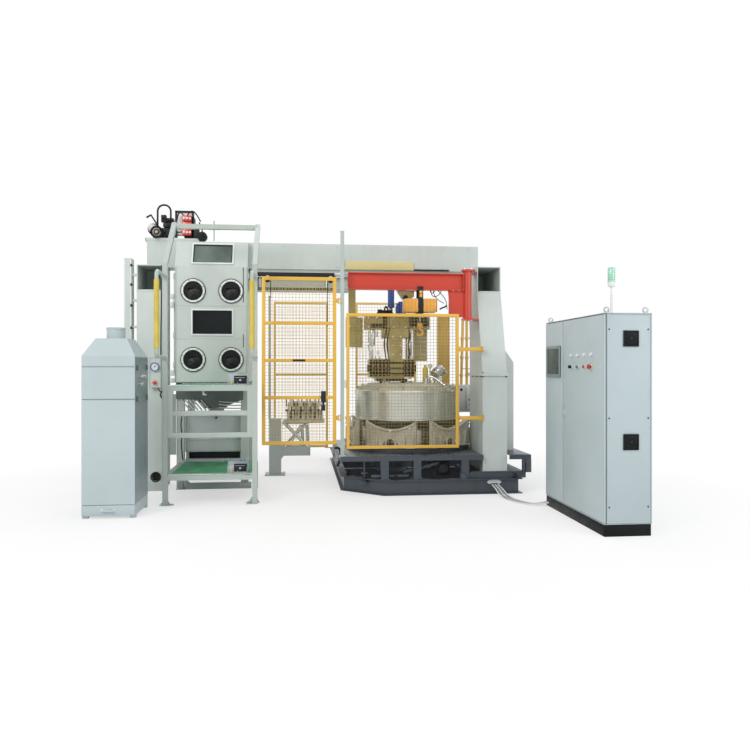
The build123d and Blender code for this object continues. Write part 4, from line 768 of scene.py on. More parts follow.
def column_trim():
    """Painted-shade linings inside the heads' mouths, bolts, plates and clips of the two columns."""
    mouth = (2714, 3036)
    rear = 570
    # The linings are the grey paint made darker, as painted shade inside each head's mouth.
    mouth_shade_lining = Piece()
    for (left, right), front in (((-2704, -2402), -16), ((1894, 2196), -296)):
        deep = (front, rear)
        mouth_shade_lining.blocks(((left, left + 2), deep, mouth), ((right - 2, right), deep, mouth),
                      ((left, right), deep, (mouth[0] - 1, mouth[0] + 1)),
                      ((left, right), deep, (mouth[1] - 1, mouth[1] + 1)), ((left, right), (568, 572), mouth))
    mouth_shade_lining.done("head_mouth_painted_shade", "machine", "mouth_shade_lining")

    face, seam = -619, 1550
    joint = Piece().bolts(((1876, face, seam), (2196, face, seam)), DOWN, 17)
    joint.bolt((1876, face, seam + 40), UP, 14)
    joint.bolts(grid((1871,), (-520, -320, -80), (seam,)), DOWN, 15)
    joint.block((1870, 2220), (face - 3, face), (seam - 2, seam + 1))
    joint.bolts(grid((1920, 1990, 2060, 2130, 2190), (-640,), (PLINTH_TOP,)), UP, 18)
    joint.done("column_bolts", "machine", "black")

    plates = Piece().blocks(((2028, 2034), (250, 580), (3060, 3404)),
                            ((1868, 2222), (-640, -600), (PLINTH_TOP, PLINTH_TOP + 16)),
                            ((1866, 1880), (-500, -420), (1905, 1960)),
                            ((2210, 2226), (-500, 60), (1480, 1494)))
    plates.prism(((-2718, 0), (-2560, 0), (-2718, 260)), 1, -36, -20)
    plates.blocks(((-2722, -2384), (-26, -20), (2690, 2702)), ((1876, 2214), (-306, -300), (2690, 2702)))
    plates.done("column_plates", "machine", "grey", bevel=2)
    # The black disc sunk behind the ring is painted shade inside the hole.
    hole = Piece().ring((-2468, -22, 190), FRONT, 70, 57, 4, 40).disc((-2468, 40, 190), FRONT, 58, 4)
    hole.done("service_hole", "machine", "black")
    clips = Piece()
    for z in (1920, 2180, 2480, 2760, 3020):
        clips.blocks(((-2800, -2776), (-27, -20), (z, z + 34)), ((-2790, -2770), (-20, 10), (z + 6, z + 20)))
    clips.done("track_clips", "machine", "black")
    strips = Piece()
    for x in (-2876, -2802):
        strips.block((x, x + 10), (-24, -20), (1870, 3110))
    strips.done("track_strips", "machine", "white")


def beam_trim():
    """The bare plate, rails, bolts and rack of the cross beam."""
    front = BEAM_Y[0]
    Piece().block((60, 1080), (214, 238), (3056, 3176)).done("bare_yellow_plate", "machine", "sand", bevel=2)
    gate_rail = (-1230, -50)
    rails = Piece().blocks(((1090, 1600), (216, 238), (3052, 3072)), (gate_rail, (236, 262), (2950, 3006)),
                           (gate_rail, (300, 330), (2925, 2945)))
    rails.done("black_rails", "machine", "black", bevel=1)
    heads = Piece().bolts(grid(range(-1150, 1900, 380), (front,), (3090, 3374)), FRONT, 13)
    heads.done("beam_bolts", "machine", "grey")
    trim = Piece().blocks(((-1240, 1860), (254, 262), (3000, 3012)), ((-1240, 157), (322, 332), (2790, 2800)))
    for x in (-1100, -160):
        trim.rod((x, 300, 3004), (x, 300, 2760), 9)
    trim.done("rail_trim", "machine", "bright")
    Piece().block((-1236, -46), (front, front + 10), (2758, 2790)).done("rack_band", "machine", "black")
    teeth = Piece()
    for k in range(38):
        teeth.block((-1226 + 31 * k, -1212 + 31 * k), (front - 4, front), (2765, 2783))
    teeth.done("rack_teeth", "machine", "olive")


def pump_motor():
    """The finned motor on the left end of the beam, with its end face and rim."""
    front, start = Vector((-2507, 236, 3537)), Vector((-2507, 250, 3537))
    motor = Piece().lathe(start, REAR, ((-22, 24), (-20, 60), (0, 79), (8, 79), (10, 72), (240, 72),
                                        (244, 79), (300, 79)), 36)
    for k in range(24):
        motor.block((70, 79), (-240, -20), (-2, 2), round_y(start, 15 * k))
    motor.done("pump_motor", "machine", "black")
    face = Piece().lathe(front - Vector((0, 4, 0)), FRONT, ((-6, 62), (0, 62), (3, 56), (3, 24), (8, 20)), 40)
    face.rod(front - Vector((0, 10, 0)), front - Vector((0, 28, 0)), 14)
    face.done("motor_end_face", "machine", "cast")
    eye_pixels = ((157, 224), (158, 240))
    rim = Piece().ring(front, FRONT, 86, 62, 14, 40).rod(*seen_line(eye_pixels, 300), 6)
    rim.done("motor_end_rim", "machine", "black")


def valves_and_hoses():
    """The valve blocks beside the motor with their hoses, the reel and the tray they stand in."""
    middle = 300
    red_edges = ((182.5, 219.6, 191.5, 225.2), (182.5, 226, 191.5, 231), (182.5, 232, 191.5, 239.6))
    blocks = Piece().blocks(*[seen_box(edges, middle, (-40, 60)) for edges in red_edges])
    blocks.done("red_valve_blocks", "machine", "red", bevel=4)
    cluster_edges = (((161, 219, 166, 226), 260), ((163, 227, 172, 231), 250), ((161.5, 232, 170, 240), 262),
                     ((167, 222, 172.5, 226.5), 280), ((175, 214.5, 177, 241), 330),
                     ((191.8, 214.5, 193.6, 241), 330), ((175, 214.5, 193.6, 216.2), 330),
                     ((172, 235, 176, 241), 250), ((194, 231, 199, 241), 270))
    cluster = Piece().blocks(*[seen_box(edges, y, (0, 70)) for edges, y in cluster_edges])
    plug_pixels = ((163, 222), (169, 229), (164, 236), (172, 238), (170, 224))
    for at in seen_line(plug_pixels, 258):
        cluster.lathe(at, FRONT, ((-10, 20), (10, 20), (14, 13), (40, 13)), 16)
    cluster.done("valve_cluster", "machine", "black", bevel=3)
    panel_edges = (177.2, 217, 191.6, 240)
    panel = Piece().block(*seen_box(panel_edges, 345, (0, 7)))
    for at in seen_line(grid((184, 187, 190), (222, 228.5, 236)), middle - 40):
        panel.lathe(at, FRONT, ((0, 16), (6, 16), (8, 9), (18, 9)), 12)
    panel.done("valve_back_panel", "machine", "white")

    hose_pixels = (((177, 223.7), (178, 217), (182, 216), (184.5, 221)),
                   ((187.3, 219.6), (190, 214), (196, 216), (200.6, 225.2)),
                   ((166, 226), (171, 222), (175, 229), (181, 233)),
                   ((164, 240), (168, 243), (173, 236), (182, 236)),
                   ((199, 226), (203, 231), (202, 238)), ((158, 238), (162, 242), (167, 239)))
    hoses = Piece()
    for pixels in hose_pixels:
        hoses.pipe(seen_line(pixels, middle - 30), 9)
    hoses.done("hydraulic_hoses", "machine", "hose")
    lever_pixels = ((146.5, 222), (151, 219.5), (167, 244))
    Piece().pipe(seen_line(lever_pixels, 262), 14, curved=False).done("lever_bar", "machine", "black")
    hub = Vector((-1893, 236, 3488))
    reel = Piece().ring(hub, REAR, 68, 54, 60, 36).disc(hub - Vector((0, 4, 0)), REAR, 18, 70)
    for k in range(8):
        reel.block((14, 58), (-40, -20), (-4, 4), round_y(hub, 45 * k))
    reel.done("hose_reel", "machine", "hose")
    rim = (BEAM_Z[1] - 4, BEAM_Z[1] + 44)
    tray = Piece().blocks(((-2660, -1930), (238, 246), rim), ((-2660, -2650), (238, 600), rim))
    tray.done("tray_edge", "machine", "grey", bevel=2)


def glove_ports():
    """Rings, cuffs and gloves of the cabin's four ports."""
    rings, seals, cuffs, gloves = Piece(), Piece(), Piece(), Piece()
    for x, z in grid((-1978, -1471), (1772, 2705)):
        rings.ring((x, -12, z), FRONT, 157, 131, 9, 64)
        seals.ring((x, -2, z), FRONT, 168, 157, 14, 64)
        for k in range(8):
            turn = math.radians(22.5 + 45 * k)
            seals.disc((x + 144 * math.cos(turn), -21, z + 144 * math.sin(turn)), FRONT, 6, 3, 10)
        cuffs.ring((x, 2, z), FRONT, 131, 112, 16, 48)
        for k in range(5):
            fold = (x + 18 * math.cos(k * 2.1), -4, z - 34 + 15 * math.sin(k * 2.6))
            gloves.lathe(fold, (0.1 * (k - 2), -1, 0.12 * k),
                         ((-12, 96 - 11 * k), (2, 90 - 12 * k), (9, 70 - 11 * k), (13, 40 - 8 * k)), 28)
        for k in range(4):
            finger = (x - 62 + 38 * k, -10, z + 48 - 7 * abs(k - 1.5))
            gloves.lathe(finger, (0, -1, -0.5), ((-8, 20), (8, 19), (16, 12), (19, 4)), 14)
    rings.done("port_white_rings", "machine", "white", bevel=3)
    seals.done("port_outer_rings", "machine", "black")
    cuffs.done("port_cuffs", "machine", "glove")
    gloves.done("gloves", "machine", "glove")


def cabin_windows():
    """Frames and gaskets of the middle window and of the upper one, which leans back."""
    lean = Matrix.Translation((0, 0, 3040)) @ Matrix.Rotation(-math.atan2(150, 360), 4, "X")
    across, gasket_across = (-2006, -1437), (-1986, -1457)
    gaskets, frames = Piece(), Piece()
    frames.frame(across, (2098, 2461), -17, 21, 6)
    frames.bolts(((-1996, -17, 2110), (-1447, -17, 2110), (-1996, -17, 2449), (-1447, -17, 2449)), FRONT, 7)
    gaskets.frame(gasket_across, (2118, 2441), -6, 12, 14)
    frames.frame(across, (31, 358), -17, 21, 6, lean)
    gaskets.frame(gasket_across, (51, 338), -6, 12, 14, lean)
    frames.done("window_frames", "machine", "white", bevel=2)
    gaskets.done("window_gaskets", "machine", "rubber")
    # The leaning pane's greyer glass is a painted reflection of the sky.
    pane = Piece().block(gasket_across, (4, 5.6), (51, 338), lean)
    pane.done("upper_window_pane", "machine", "glass_painted_sky_reflection")


def cabin_edges_and_hoses():
    """Edge strips, slots and fittings on the cabin's front, with the air hoses at its left."""
    left, right = box_mm("cabin_walls")[0]
    slot = (right - 59, right - 50), (-3, 2)
    slots = Piece().blocks((*slot, (2554, 3030)), (*slot, (1938, 2116)))
    slots.done("edge_slots", "machine", "black")
    edges = Piece()
    for z in (2052, 2500):
        edges.block((left + 7, right - 10), (-4, 0), (z, z + 3))
    edges.blocks(((left, left + 16), (-8, 0), (1470, 3030)), ((right - 16, right), (-8, 0), (1470, 3030)),
                 ((left, right), (-8, 0), (1462, 1478)), ((right - 4, right + 24), (0, 60), (2880, 2960)),
                 ((right - 4, right + 42), (20, 40), (2900, 2920)),
                 ((left - 19, left), (30, 110), (1600, 2950)))
    edges.done("cabin_edges", "machine", "frame", bevel=2)
    fittings = Piece()
    for z in (2860, 2520, 2060, 1660):
        fittings.disc((left - 11, -12, z), UP, 12, 80, 14)
    switch_edges = ((170.5, 298, 173, 303), (170.5, 306, 173, 312),
                    (169.7, 374, 174, 380), (169.7, 382, 174, 387))
    fittings.blocks(*[seen_box(edges, -40, (0, 40)) for edges in switch_edges])
    fittings.done("cabin_fittings", "machine", "bin", bevel=2)
    coil_pixels = ((171, 390), (166, 392), (161, 396), (160, 401), (164, 403), (168, 400))
    tail_pixels = ((157, 378), (157, 390), (160, 397), (166, 398))
    air = Piece().pipe(seen_line(coil_pixels, -30), 7).pipe(seen_line(tail_pixels, -60), 6)
    air.pipe(((-2400, -30, 1795), (-2400, -34, 2100), (-2390, -34, 2600), (-2392, -30, 3040)), 7)
    air.done("air_hoses", "machine", "hose")


def under_the_cabin():
    """Funnel, hoses, sheets, bin trim and low beam between the cabin and the floor."""
    hoses = Piece()
    for px in (181, 185, 189, 193, 197, 201):
        hoses.pipe((seen(px, 403.5, 100), seen(px + 4, 408, 80), seen(px + 9, 413.5, 60)), 11)
    for py in (404.5, 407.5, 410.5):
        hoses.pipe((seen(219, py, 90), seen(229, py + 1.2, 80), seen(241, py + 0.4, 90)), 9)
    hoses.done("pale_hoses_under_cabin", "machine", "bin")
    funnel_pixels = ((176, 403), (195, 404), (209, 409.5), (214, 411), (220, 411), (226, 409), (243, 402.5))
    funnel = [(spot.x, spot.z) for spot in seen_line(funnel_pixels, 110)]
    top = box_mm("cabin_walls")[2][0] + 2
    funnel += [(funnel[-1][0], top), (funnel[0][0], top)]
    # The funnel sheet is darker grey: painted shade of the cabin's shadowed underside.
    Piece().prism(funnel, 1, 108, 112).done("funnel_front_sheet", "machine", "inside")
    Piece().block((-2383, -2222), (112, 116), (470, 1300)).done("side_sheet", "machine", "frame")
    left = -2097
    beam = Piece().block((left, -1206), (63, 130), (0, 82))
    beam.prism(((left, 82), (left + 67, 82), (left, 150)), 1, 92, 100)
    beam.block((left + 37, -1240), (60, 63), (30, 52)).done("low_floor_beam", "machine", "frame", bevel=3)

    strip = (228, 240)
    bin_trim = Piece()
    for x in (-2110, -1370):
        bin_trim.block((x, x + 24), strip, (360, 980))
    for low, high in ((500, 516), (655, 668), (740, 752)):
        bin_trim.block((-2110, -1350), strip, (low, high))
    bin_trim.done("bin_trim", "machine", "grey", bevel=1)
    # The dark sheet set back in the bin's slot is painted shade inside it.
    dark = Piece().blocks(((-2075, -1366), (296, 299), (395, 488)), ((-1750, -1690), (-1, 60), (200, 280)))
    # The black tube down the bin's left edge is a painted shadow gap.
    shadow_gap_pixels = ((182, 420), (180.5, 428), (182, 436), (181, 450), (183, 464))
    dark.pipe(seen_line(shadow_gap_pixels, 60), 8)
    catch = seen(216, 421, 200)
    dark.block((catch.x - 9, catch.x + 9), (200, 235), (catch.z - 14, catch.z + 14))
    dark.done("bin_slot_shade_clips_and_shadow_gap", "machine", "black", bevel=2)
    middle_x, middle_y = -1736.5, 600
    cone = Piece()
    for k in range(4):
        place = spin(middle_x, middle_y, 90 * k)
        cone.rod(place @ Vector((132, 132, 1086)), place @ Vector((384, 384, 1455)), 8)
    cone.lathe((middle_x, middle_y, 1000), UP,
               ((0, 126), (12, 126), (12, 112), (80, 112), (80, 150), (90, 150)), 32)
    cone.done("hopper_collar", "machine", "bin")


def gauge_box():
    """The dial, its needle and scale, the knob and the door line of the gauge box."""
    (left, right), (front, _), (low, high) = box_mm("gauge_box")
    x, z = (left + right) / 2, 1673
    Piece().ring((x, front + 2, z), FRONT, 58, 48, 10, 40).done("dial_rim", "machine", "blue")
    Piece().disc((x, front + 2, z), FRONT, 50, 4, 40).done("dial_face", "machine", "white")
    middle = (x, 0, z)
    needle = Piece().block((-2, 2), (-134, -132), (-10, 40), round_y(middle, math.degrees(0.7)))
    for k in range(11):
        needle.block((-1, 1), (-133.5, -132), (36, 44), round_y(middle, -135 + 27 * k))
    needle.disc((x, front - 1, z), FRONT, 7, 5, 12).done("dial_needle", "machine", "black")
    knob = Piece().lathe((x, front + 32, 1461), FRONT, ((0, 22), (20, 22), (24, 28), (34, 28), (38, 22)), 24)
    knob.done("gauge_knob", "machine", "red")
    door = Piece().frame((left - 4, right + 4), (low - 4, high + 4), -106, 8, 6)
    door.done("gauge_box_door", "machine", "frame", bevel=1)


def platforms():
    """Edges of the mats, and the upper platform's welded frame."""
    edging = Piece()
    for z, rear in ((366, 130), (1446, -10)):
        for low, high in ((-1066, -1058), (rear - 12, rear - 4)):
            edging.block((-2120, -1120), (low, high), (z - 2, z + 6))
    edging.done("mat_edging", "machine", "bright")
    (left, right), (front, rear), (low, _) = box_mm("upper_platform")
    bar, top, skirt = 60, 1440, 1392
    upper = Piece().frame((left, right), (low, top), front, bar, bar)
    upper.blocks(((left + bar, right - bar), (front, front + bar), (1080, 1080 + bar)),
                 ((left, right), (rear - 70, rear - 10), (skirt, top)),
                 ((left, left + bar), (front + bar, rear), (skirt, top)),
                 ((right - bar, right), (front + bar, rear), (skirt, top)),
                 ((left + bar, right - bar), (front + bar, rear - 70), (1430, 1434)))
    upper.done("upper_platform_frame", "machine", "frame", replaces=("upper_platform",), bevel=2)


def portal_trim():
    """Foot plates, gussets, bolts and grips of the portal."""
    left, right, front, foot_top = -2155, -1086, -1040, 10
    pads = Piece()
    for x, y, sides, deep in ((left, front, (-62, 66), 50), (left, 100, (-62, 66), 50),
                              (right, front, (-104, 34), 46)):
        pads.block((x + sides[0], x + sides[1]), (y - deep, y + deep), (0, foot_top))
        pads.prism(((x + 26, foot_top), (x + 60, foot_top), (x + 26, 70)), 1, y - 4, y + 4)
    pads.prism(((-1116, foot_top), (-1180, foot_top), (-1116, 90)), 1, front - 4, front + 4)
    pads.blocks(((-1210, -1130), (-1070, -1010), (352, 360)), ((-2125, -1116), (-1074, -1070), (380, 384)))
    for x in (-2125, -1146):
        pads.prism(((-1070, 1380), (-1070, 1300), (-1000, 1380)), 0, x, x + 8)
    for z, x in grid((1790, 2765), (left, right)):
        pads.lathe((x, -1072, z), FRONT, ((0, 40), (8, 40), (12, 26)), 24)
    stay_x, stay_y = -1648, -436
    pads.block((-1725, -1570), (-470, -400), (3458, 3475))
    pads.rod((stay_x, stay_y, 3462), (stay_x, stay_y, 3311), 8)
    pads.lathe((stay_x, stay_y, 3475), UP, ((0, 22), (12, 22), (14, 11), (95, 11)), 6)
    bracket_y = (-1030, -1022)
    pads.blocks(((-1716, -1694), bracket_y, (1336, 1392)), ((-1716, -1670), bracket_y, (1326, 1340)))
    pads.done("portal_plates", "machine", "frame", bevel=2)
    studs = Piece()
    for x, y in ((-2205, -1075), (-2205, -1005), (-2205, 70), (-2205, 130), (-1175, -1075), (-1175, -1005)):
        studs.bolt((x, y, foot_top), UP, 13)
    studs.bolts(grid((left, right), (-1070,), (1600, 2000, 2400, 2800)), FRONT, 8)
    studs.done("platform_bolts", "machine", "bright")
    grips = Piece()
    for x in (left, right):
        grips.lathe((x, -1560, 1880), UP, ((0, 23), (4, 29), (16, 30), (770, 30), (784, 29), (788, 23)), 28)
        for k in range(18):
            grips.ring((x, -1560, 1910 + 42 * k), UP, 31, 28, 6, 28)
    grips.done("yellow_grips", "machine", "grip")


def foot_switches():
    """Shrouds, pedals and treads of the two foot switches, with a painted highlight strip on each."""
    front = box_mm("foot_switches")[1][0]
    mat_tops = (366, 1446)
    shrouds, pedals, treads, mouths, levers = Piece(), Piece(), Piece(), Piece(), Piece()
    for z in mat_tops:
        side = ((front - 6, z), (front + 244, z), (front + 244, z + 146), (front + 70, z + 146),
                (front - 6, z + 76))
        for low, high in ((-1421, -1412), (-1304, -1296), (-1188, -1178)):
            shrouds.prism(side, 0, low, high)
        shrouds.block((-1421, -1178), (front + 236, front + 246), (z, z + 146))
        pedals.block((-1400, -1316), (front - 4, front + 60), (z + 30, z + 100))
        treads.prism(((front + 2, z + 20), (front + 160, z + 56), (front + 160, z + 70), (front + 2, z + 34)),
                     0, -1286, -1198)
        for k in range(6):
            near, low = front + 10 + 24 * k, z + 34 + 5.4 * k
            treads.block((-1284, -1200), (near, near + 10), (low, low + 6))
        for x, y in grid((-1262, -1222), (front + 30, front + 120)):
            treads.ring((x, y, z + 146), UP, 15, 8, 3, 20)
        mouths.block((-1342, -1186), (front - 5, front - 1), (z + 22, z + 118))
        for x in ((-1332, -1276), (-1256, -1204)):
            mouths.block(x, (front - 15, front - 4), (z + 40, z + 104))
        levers.block((-1380, -1362), (front - 16, front - 2), (z + 2, z + 60))
    for z in mat_tops:
        pedals.disc((-1266, front - 15, z + 64), FRONT, 14, 8, 20)
        # A thin strip of the pale enamel across each switch's black mouth is a painted highlight.
        pedals.block((-1330, -1208), (front - 18, front - 15), (z + 92, z + 97))
    shrouds.done("pedal_shrouds", "machine", "pedal", bevel=2)
    mouths.done("pedal_mouths", "machine", "rubber")
    levers.done("pedal_levers", "machine", "grip", bevel=2)
    pedals.done("pedal_blocks_and_highlight_strips", "machine", "pedal", bevel=4)
    treads.done("pedal_treads", "machine", "rubber", bevel=2)


def front_gate():
    """The front gate's frame with its two arms, its mesh, clips and hinges."""
    front, rear = GATE_Y
    left, right, low, high, bar = 62, 1550, 605, 2370, 40
    pin, arms, half = 1852, (996, 1907), 25
    gate = Piece().frame((left, right), (low, high), front, bar, bar)
    for z in arms:
        gate.block((right, 1840), (-626, -614), (z - half, z + half))
        gate.block((right, right + 12), (-634, -606), (z - 40, z + 40))
        gate.disc((pin, -620, z - half), UP, 12.5, 2 * half, 20)
    gate.done("front_gate_frame", "front_guard", "yellow", replaces=("front_gate",), bevel=3)
    mesh = Piece().mesh((left + bar, right - bar), (low + bar, high - bar), -622, 42.5, 4.5)
    mesh.done("front_gate_mesh", "front_guard", "wire")
    clips = Piece()
    for z, x in grid((700, 1200, 1700, 2200), (96, 1502)):
        clips.block((x, x + 14), (-632, -612), (z - 10, z + 10))
    clips.block((left - 22, left), (front - 10, rear + 10), (1400, 1500))
    clips.bolts(((left - 10, front - 10, 1480), (left - 10, front - 10, 1420)), FRONT, 9)
    clips.done("front_gate_clips", "front_guard", "bright")
    hinges = Piece()
    for z in arms:
        for start in (z - 34, z + 26):
            hinges.disc((pin, -620, start), UP, 17, 8, 20)
        hinges.block((pin + 14, pin + 28), (-636, -560), (z - 36, z + 36))
    hinges.done("front_gate_hinges", "machine", "yellow", bevel=1)


def middle_gate():
    """The middle gate's frame, mesh, wheels and latches, and the post it hangs on."""
    front, rear = GATE_Y
    left, right, low, high, bar = -1024, -69, 668, 2832, 45
    inner = (left + bar, right - bar)
    pin, hinge_heights, half = -42, (1010, 2530), 25
    gate = Piece().frame((left, right), (low, high), front, bar, rear - front)
    for rail in (1276, 1755, 2236):
        gate.block(inner, (front, rear), (rail - 22, rail + 22))
    for z in hinge_heights:
        gate.block((right, pin), (-630, -610), (z - half, z + half))
        gate.disc((pin, -620, z - half), UP, 11, 2 * half, 18)
    gate.done("middle_gate_frame", "middle_guard", "yellow", replaces=("middle_gate",), bevel=3)
    netting = Piece()
    for z in ((low + bar, 1254), (1298, 1733), (1777, 2214), (2258, high - bar)):
        netting.mesh(inner, z, -622, 42.5, 5)
    netting.done("middle_gate_mesh", "middle_guard", "pale_wire")
    gear, wheels = Piece(), Piece()
    for x in (-952, -141):
        gear.disc((x, -626, 2790), REAR, 34, 12)
        wheels.disc((x, -612, 2816), REAR, 34, 10)
    wheels.done("middle_gate_wheels", "middle_guard", "sand")
    gear.rod((-912, -630, 2780), (-912, -630, 2560), 5).rod((-183, -630, 2780), (-183, -630, 2200), 5)
    gear.blocks(((-628, -470), (front - 14, front), (1745, 1768)),
                ((-268, -206), (front - 16, front), (1215, 1360)),
                ((-262, -212), (front - 12, front), (1105, 1180)),
                ((-252, -222), (front - 8, front), (1180, 1215)))
    gear.bolts(((-620, front - 14, 1756), (-478, front - 14, 1756)), FRONT, 7)
    gear.done("middle_gate_gear", "middle_guard", "black", bevel=2)
    knuckles = Piece()
    for z in hinge_heights:
        for start in (z - 36, z + 28):
            knuckles.disc((pin, -620, start), UP, 13, 8, 18)
        knuckles.block((-20, -12), (-648, -590), (z - 50, z + 50))
    knuckles.done("middle_gate_knuckles", "machine", "yellow", bevel=1)
    post = Piece().blocks(((-14, 33), (-641, -639), (520, 3430)), ((-34, 52), (-660, -574), (DECK_TOP, 520)),
                          ((-16, 35), (-642, -591), (3428, 3436)), ((33, 60), (-630, -600), (2980, 3060)))
    post.bolts(grid((9,), (-641,), range(700, 3400, 300)), FRONT, 7)
    post.done("middle_post_plates", "machine", "frame", bevel=1)


def rear_fence():
    """The two mesh panels of the rear fence."""
    low, rail, high, bar = 214, 1517, 2855, 40
    fence, mesh = Piece(), Piece()
    for left, right in ((-1009, -28), (474, 1600)):
        inner = (left + bar, right - bar)
        fence.frame((left, right), (low, high), 3074, bar, bar)
        fence.block(inner, (3076, 3112), (rail, rail + bar))
        for x in (left, right - bar):
            on_floor = x < -1000
            fence.block((x - 18, x + 58), (3066, 3122), (0, 8) if on_floor else (BEAM_TOP, low))
        mesh.mesh(inner, (low + bar, rail), 3092, 52, 5).mesh(inner, (rail + bar, high - bar), 3092, 52, 5)
    fence.blocks(((-1009, -969), (3074, 3114), (0, low)), ((-68, 70), (3064, 3124), (BEAM_TOP, low)))
    fence.done("fence_frames", "machine", "fence", replaces=("rear_fence",), bevel=3)
    mesh.done("fence_mesh", "machine", "pale_wire")


def jib_crane():
    """Plates and bolts of the jib's arm, and the bolts of its brackets."""
    mast_x, mast_y = 1705, -460
    arm = Piece().blocks(((130, 1650), (-515, -512), (2709, 2712)), ((130, 1650), (-405, -402), (2709, 2712)))
    arm.lathe((mast_x, mast_y, 2320), UP, ((4, 62), (16, 62)), 36)
    arm.disc((mast_x, mast_y, 2940), UP, 62, 14, 36)
    arm.block((1640, 1650), (-516, -404), (2680, 2930))
    arm.prism(((1460, 2695), (1460, 2500), (1440, 2695)), 1, -472, -448)
    arm.blocks(((1458, 1650), (-475, -445), (2338, 2352)), ((1452, 1462), (-490, -430), (2350, 2695)))
    arm.done("jib_plates", "jib", "red", bevel=2)
    arm_bolts = Piece()
    for z, y in grid((2710, 2905), (-500, -420)):
        arm_bolts.bolt((91, y, z), LEFT, 11)
    for y, x in grid((-500, -420), (1500, 1580)):
        arm_bolts.bolt((x, y, 2695), DOWN, 10)
    arm_bolts.done("jib_bolts", "jib", "bright")
    bracket = Piece()
    for y, x in grid((-510, -410), (1660, 1750)):
        bracket.bolt((x, y, 2979), UP, 14).bolt((x, y, 2300), DOWN, 14)
    bracket.done("bracket_bolts", "machine", "bright")


def hoist():
    """The hoist's gearbox, boxes, caps and cable loops, on its trolley."""
    x, y, low, high = 1056, -460, 2396, 2579
    gearbox = Piece().lathe((x, y, 2392), UP, ((-26, 30), (-20, 40), (0, 46), (20, 58), (60, 78), (130, 80),
                                               (180, 60), (200, 40)), 32)
    for side in (-1, 1):
        gearbox.ring((x + 36 * side - 4, y, 2487), RIGHT, 88, 60, 8, 40)
    for side, along in grid((-1, 1), (x - 20, x + 20)):
        gearbox.lathe((along, y + side * 66, 2727), (0, side, 0),
                      ((-26, 19), (0, 19), (2, 16), (4, 10), (14, 10)), 24)
    gearbox.prism(((x - 38, 2384), (x + 38, 2384), (x + 38, 2570), (x + 16, 2600), (x + 16, 2690),
                   (x - 16, 2690), (x - 16, 2600), (x - 38, 2570)), 1, y - 88, y + 88)
    for start in (-539, -391):
        gearbox.block((x - 34, x + 34), (start, start + 10), (2581, 2720))
    gearbox.rod((x, y, 2590), (x, y, 2640), 24).done("hoist_gearbox", "hoist_trolley", "black", bevel=2)
    boxes = Piece()
    for left in (845, 1087):
        boxes.block((left, left + 180), (y - 90, y + 90), (low, high))
    boxes.done("hoist_boxes", "hoist_trolley", "orange", replaces=("hoist",), bevel=14)
    front = y - 96
    saddle = Piece().block((x - 18, x + 18), (front, front + 8), (2596, 2640))
    saddle.lathe((x, front + 6, 2664), FRONT, ((0, 22), (8, 22), (10, 16)), 24)
    saddle.done("trolley_saddle", "hoist_trolley", "orange", bevel=2)
    caps = Piece()
    for left in (834, 1269):
        caps.block((left, left + 9), (y - 88, y + 88), (low + 8, high - 8))
    for left in (880, 930, 980, 1130, 1180, 1230):
        caps.block((left, left + 4), (front, y + 96), (low - 2, high + 2))
    caps.bolts(grid((870, 1020, 1092, 1242), (front,), (2540, 2430)), FRONT, 7)
    caps.done("hoist_caps", "hoist_trolley", "orange", bevel=3)
    loop_pixels = (((433, 289), (434, 294), (438, 299), (444, 302)),
                   ((436, 288), (441, 292), (447, 300), (447, 308)),
                   ((431, 289), (431, 294), (435, 296), (440, 293), (442, 288)),
                   ((430, 288), (430, 291), (433, 293), (436, 288)))
    plug_pixels = ((439.7, 308), (442, 306.5), (445.5, 305.5), (446.5, 304))
    loops = Piece()
    for pixels in loop_pixels:
        loops.pipe(seen_line(pixels, -400), 5)
    loops.pipe(seen_line(plug_pixels, -400), 11).done("festoon_loops", "hoist_trolley", "hose")


def hook():
    """The chain, the block it carries, and the forged hook."""
    x, y, bend_z, bend, bar = 1056, -460, 2130, 40, 13
    chain(x, y, 2258, 2600).done("hoist_chain", "hoist_hook", "bright", replaces=("hook",))
    block = Piece().lathe((x, y, 2198), UP, ((0, 20), (4, 32), (12, 36), (50, 36), (58, 32), (66, 16)), 28)
    block.block((x - 26, x + 26), (y - 18, y + 18), (2200, 2256))
    block.done("hook_block", "hoist_hook", "orange", bevel=3)
    turns = [math.radians(degrees) for degrees in range(90, -176, -14)]
    route = [(x + bend * math.cos(turn), y, bend_z + bend * math.sin(turn)) for turn in turns]
    forging = Piece().pipe(route, bar, curved=False)
    forging.rod((x, y, bend_z + 34), (x, y, 2204), bar, 16).disc((x, y, 2184), UP, 18, 14, 6)
    forging.rod((x - 36, y, bend_z + 12), (x - 26, y, bend_z + 36), 5)
    forging.done("hook_forging", "hoist_hook", "orange")


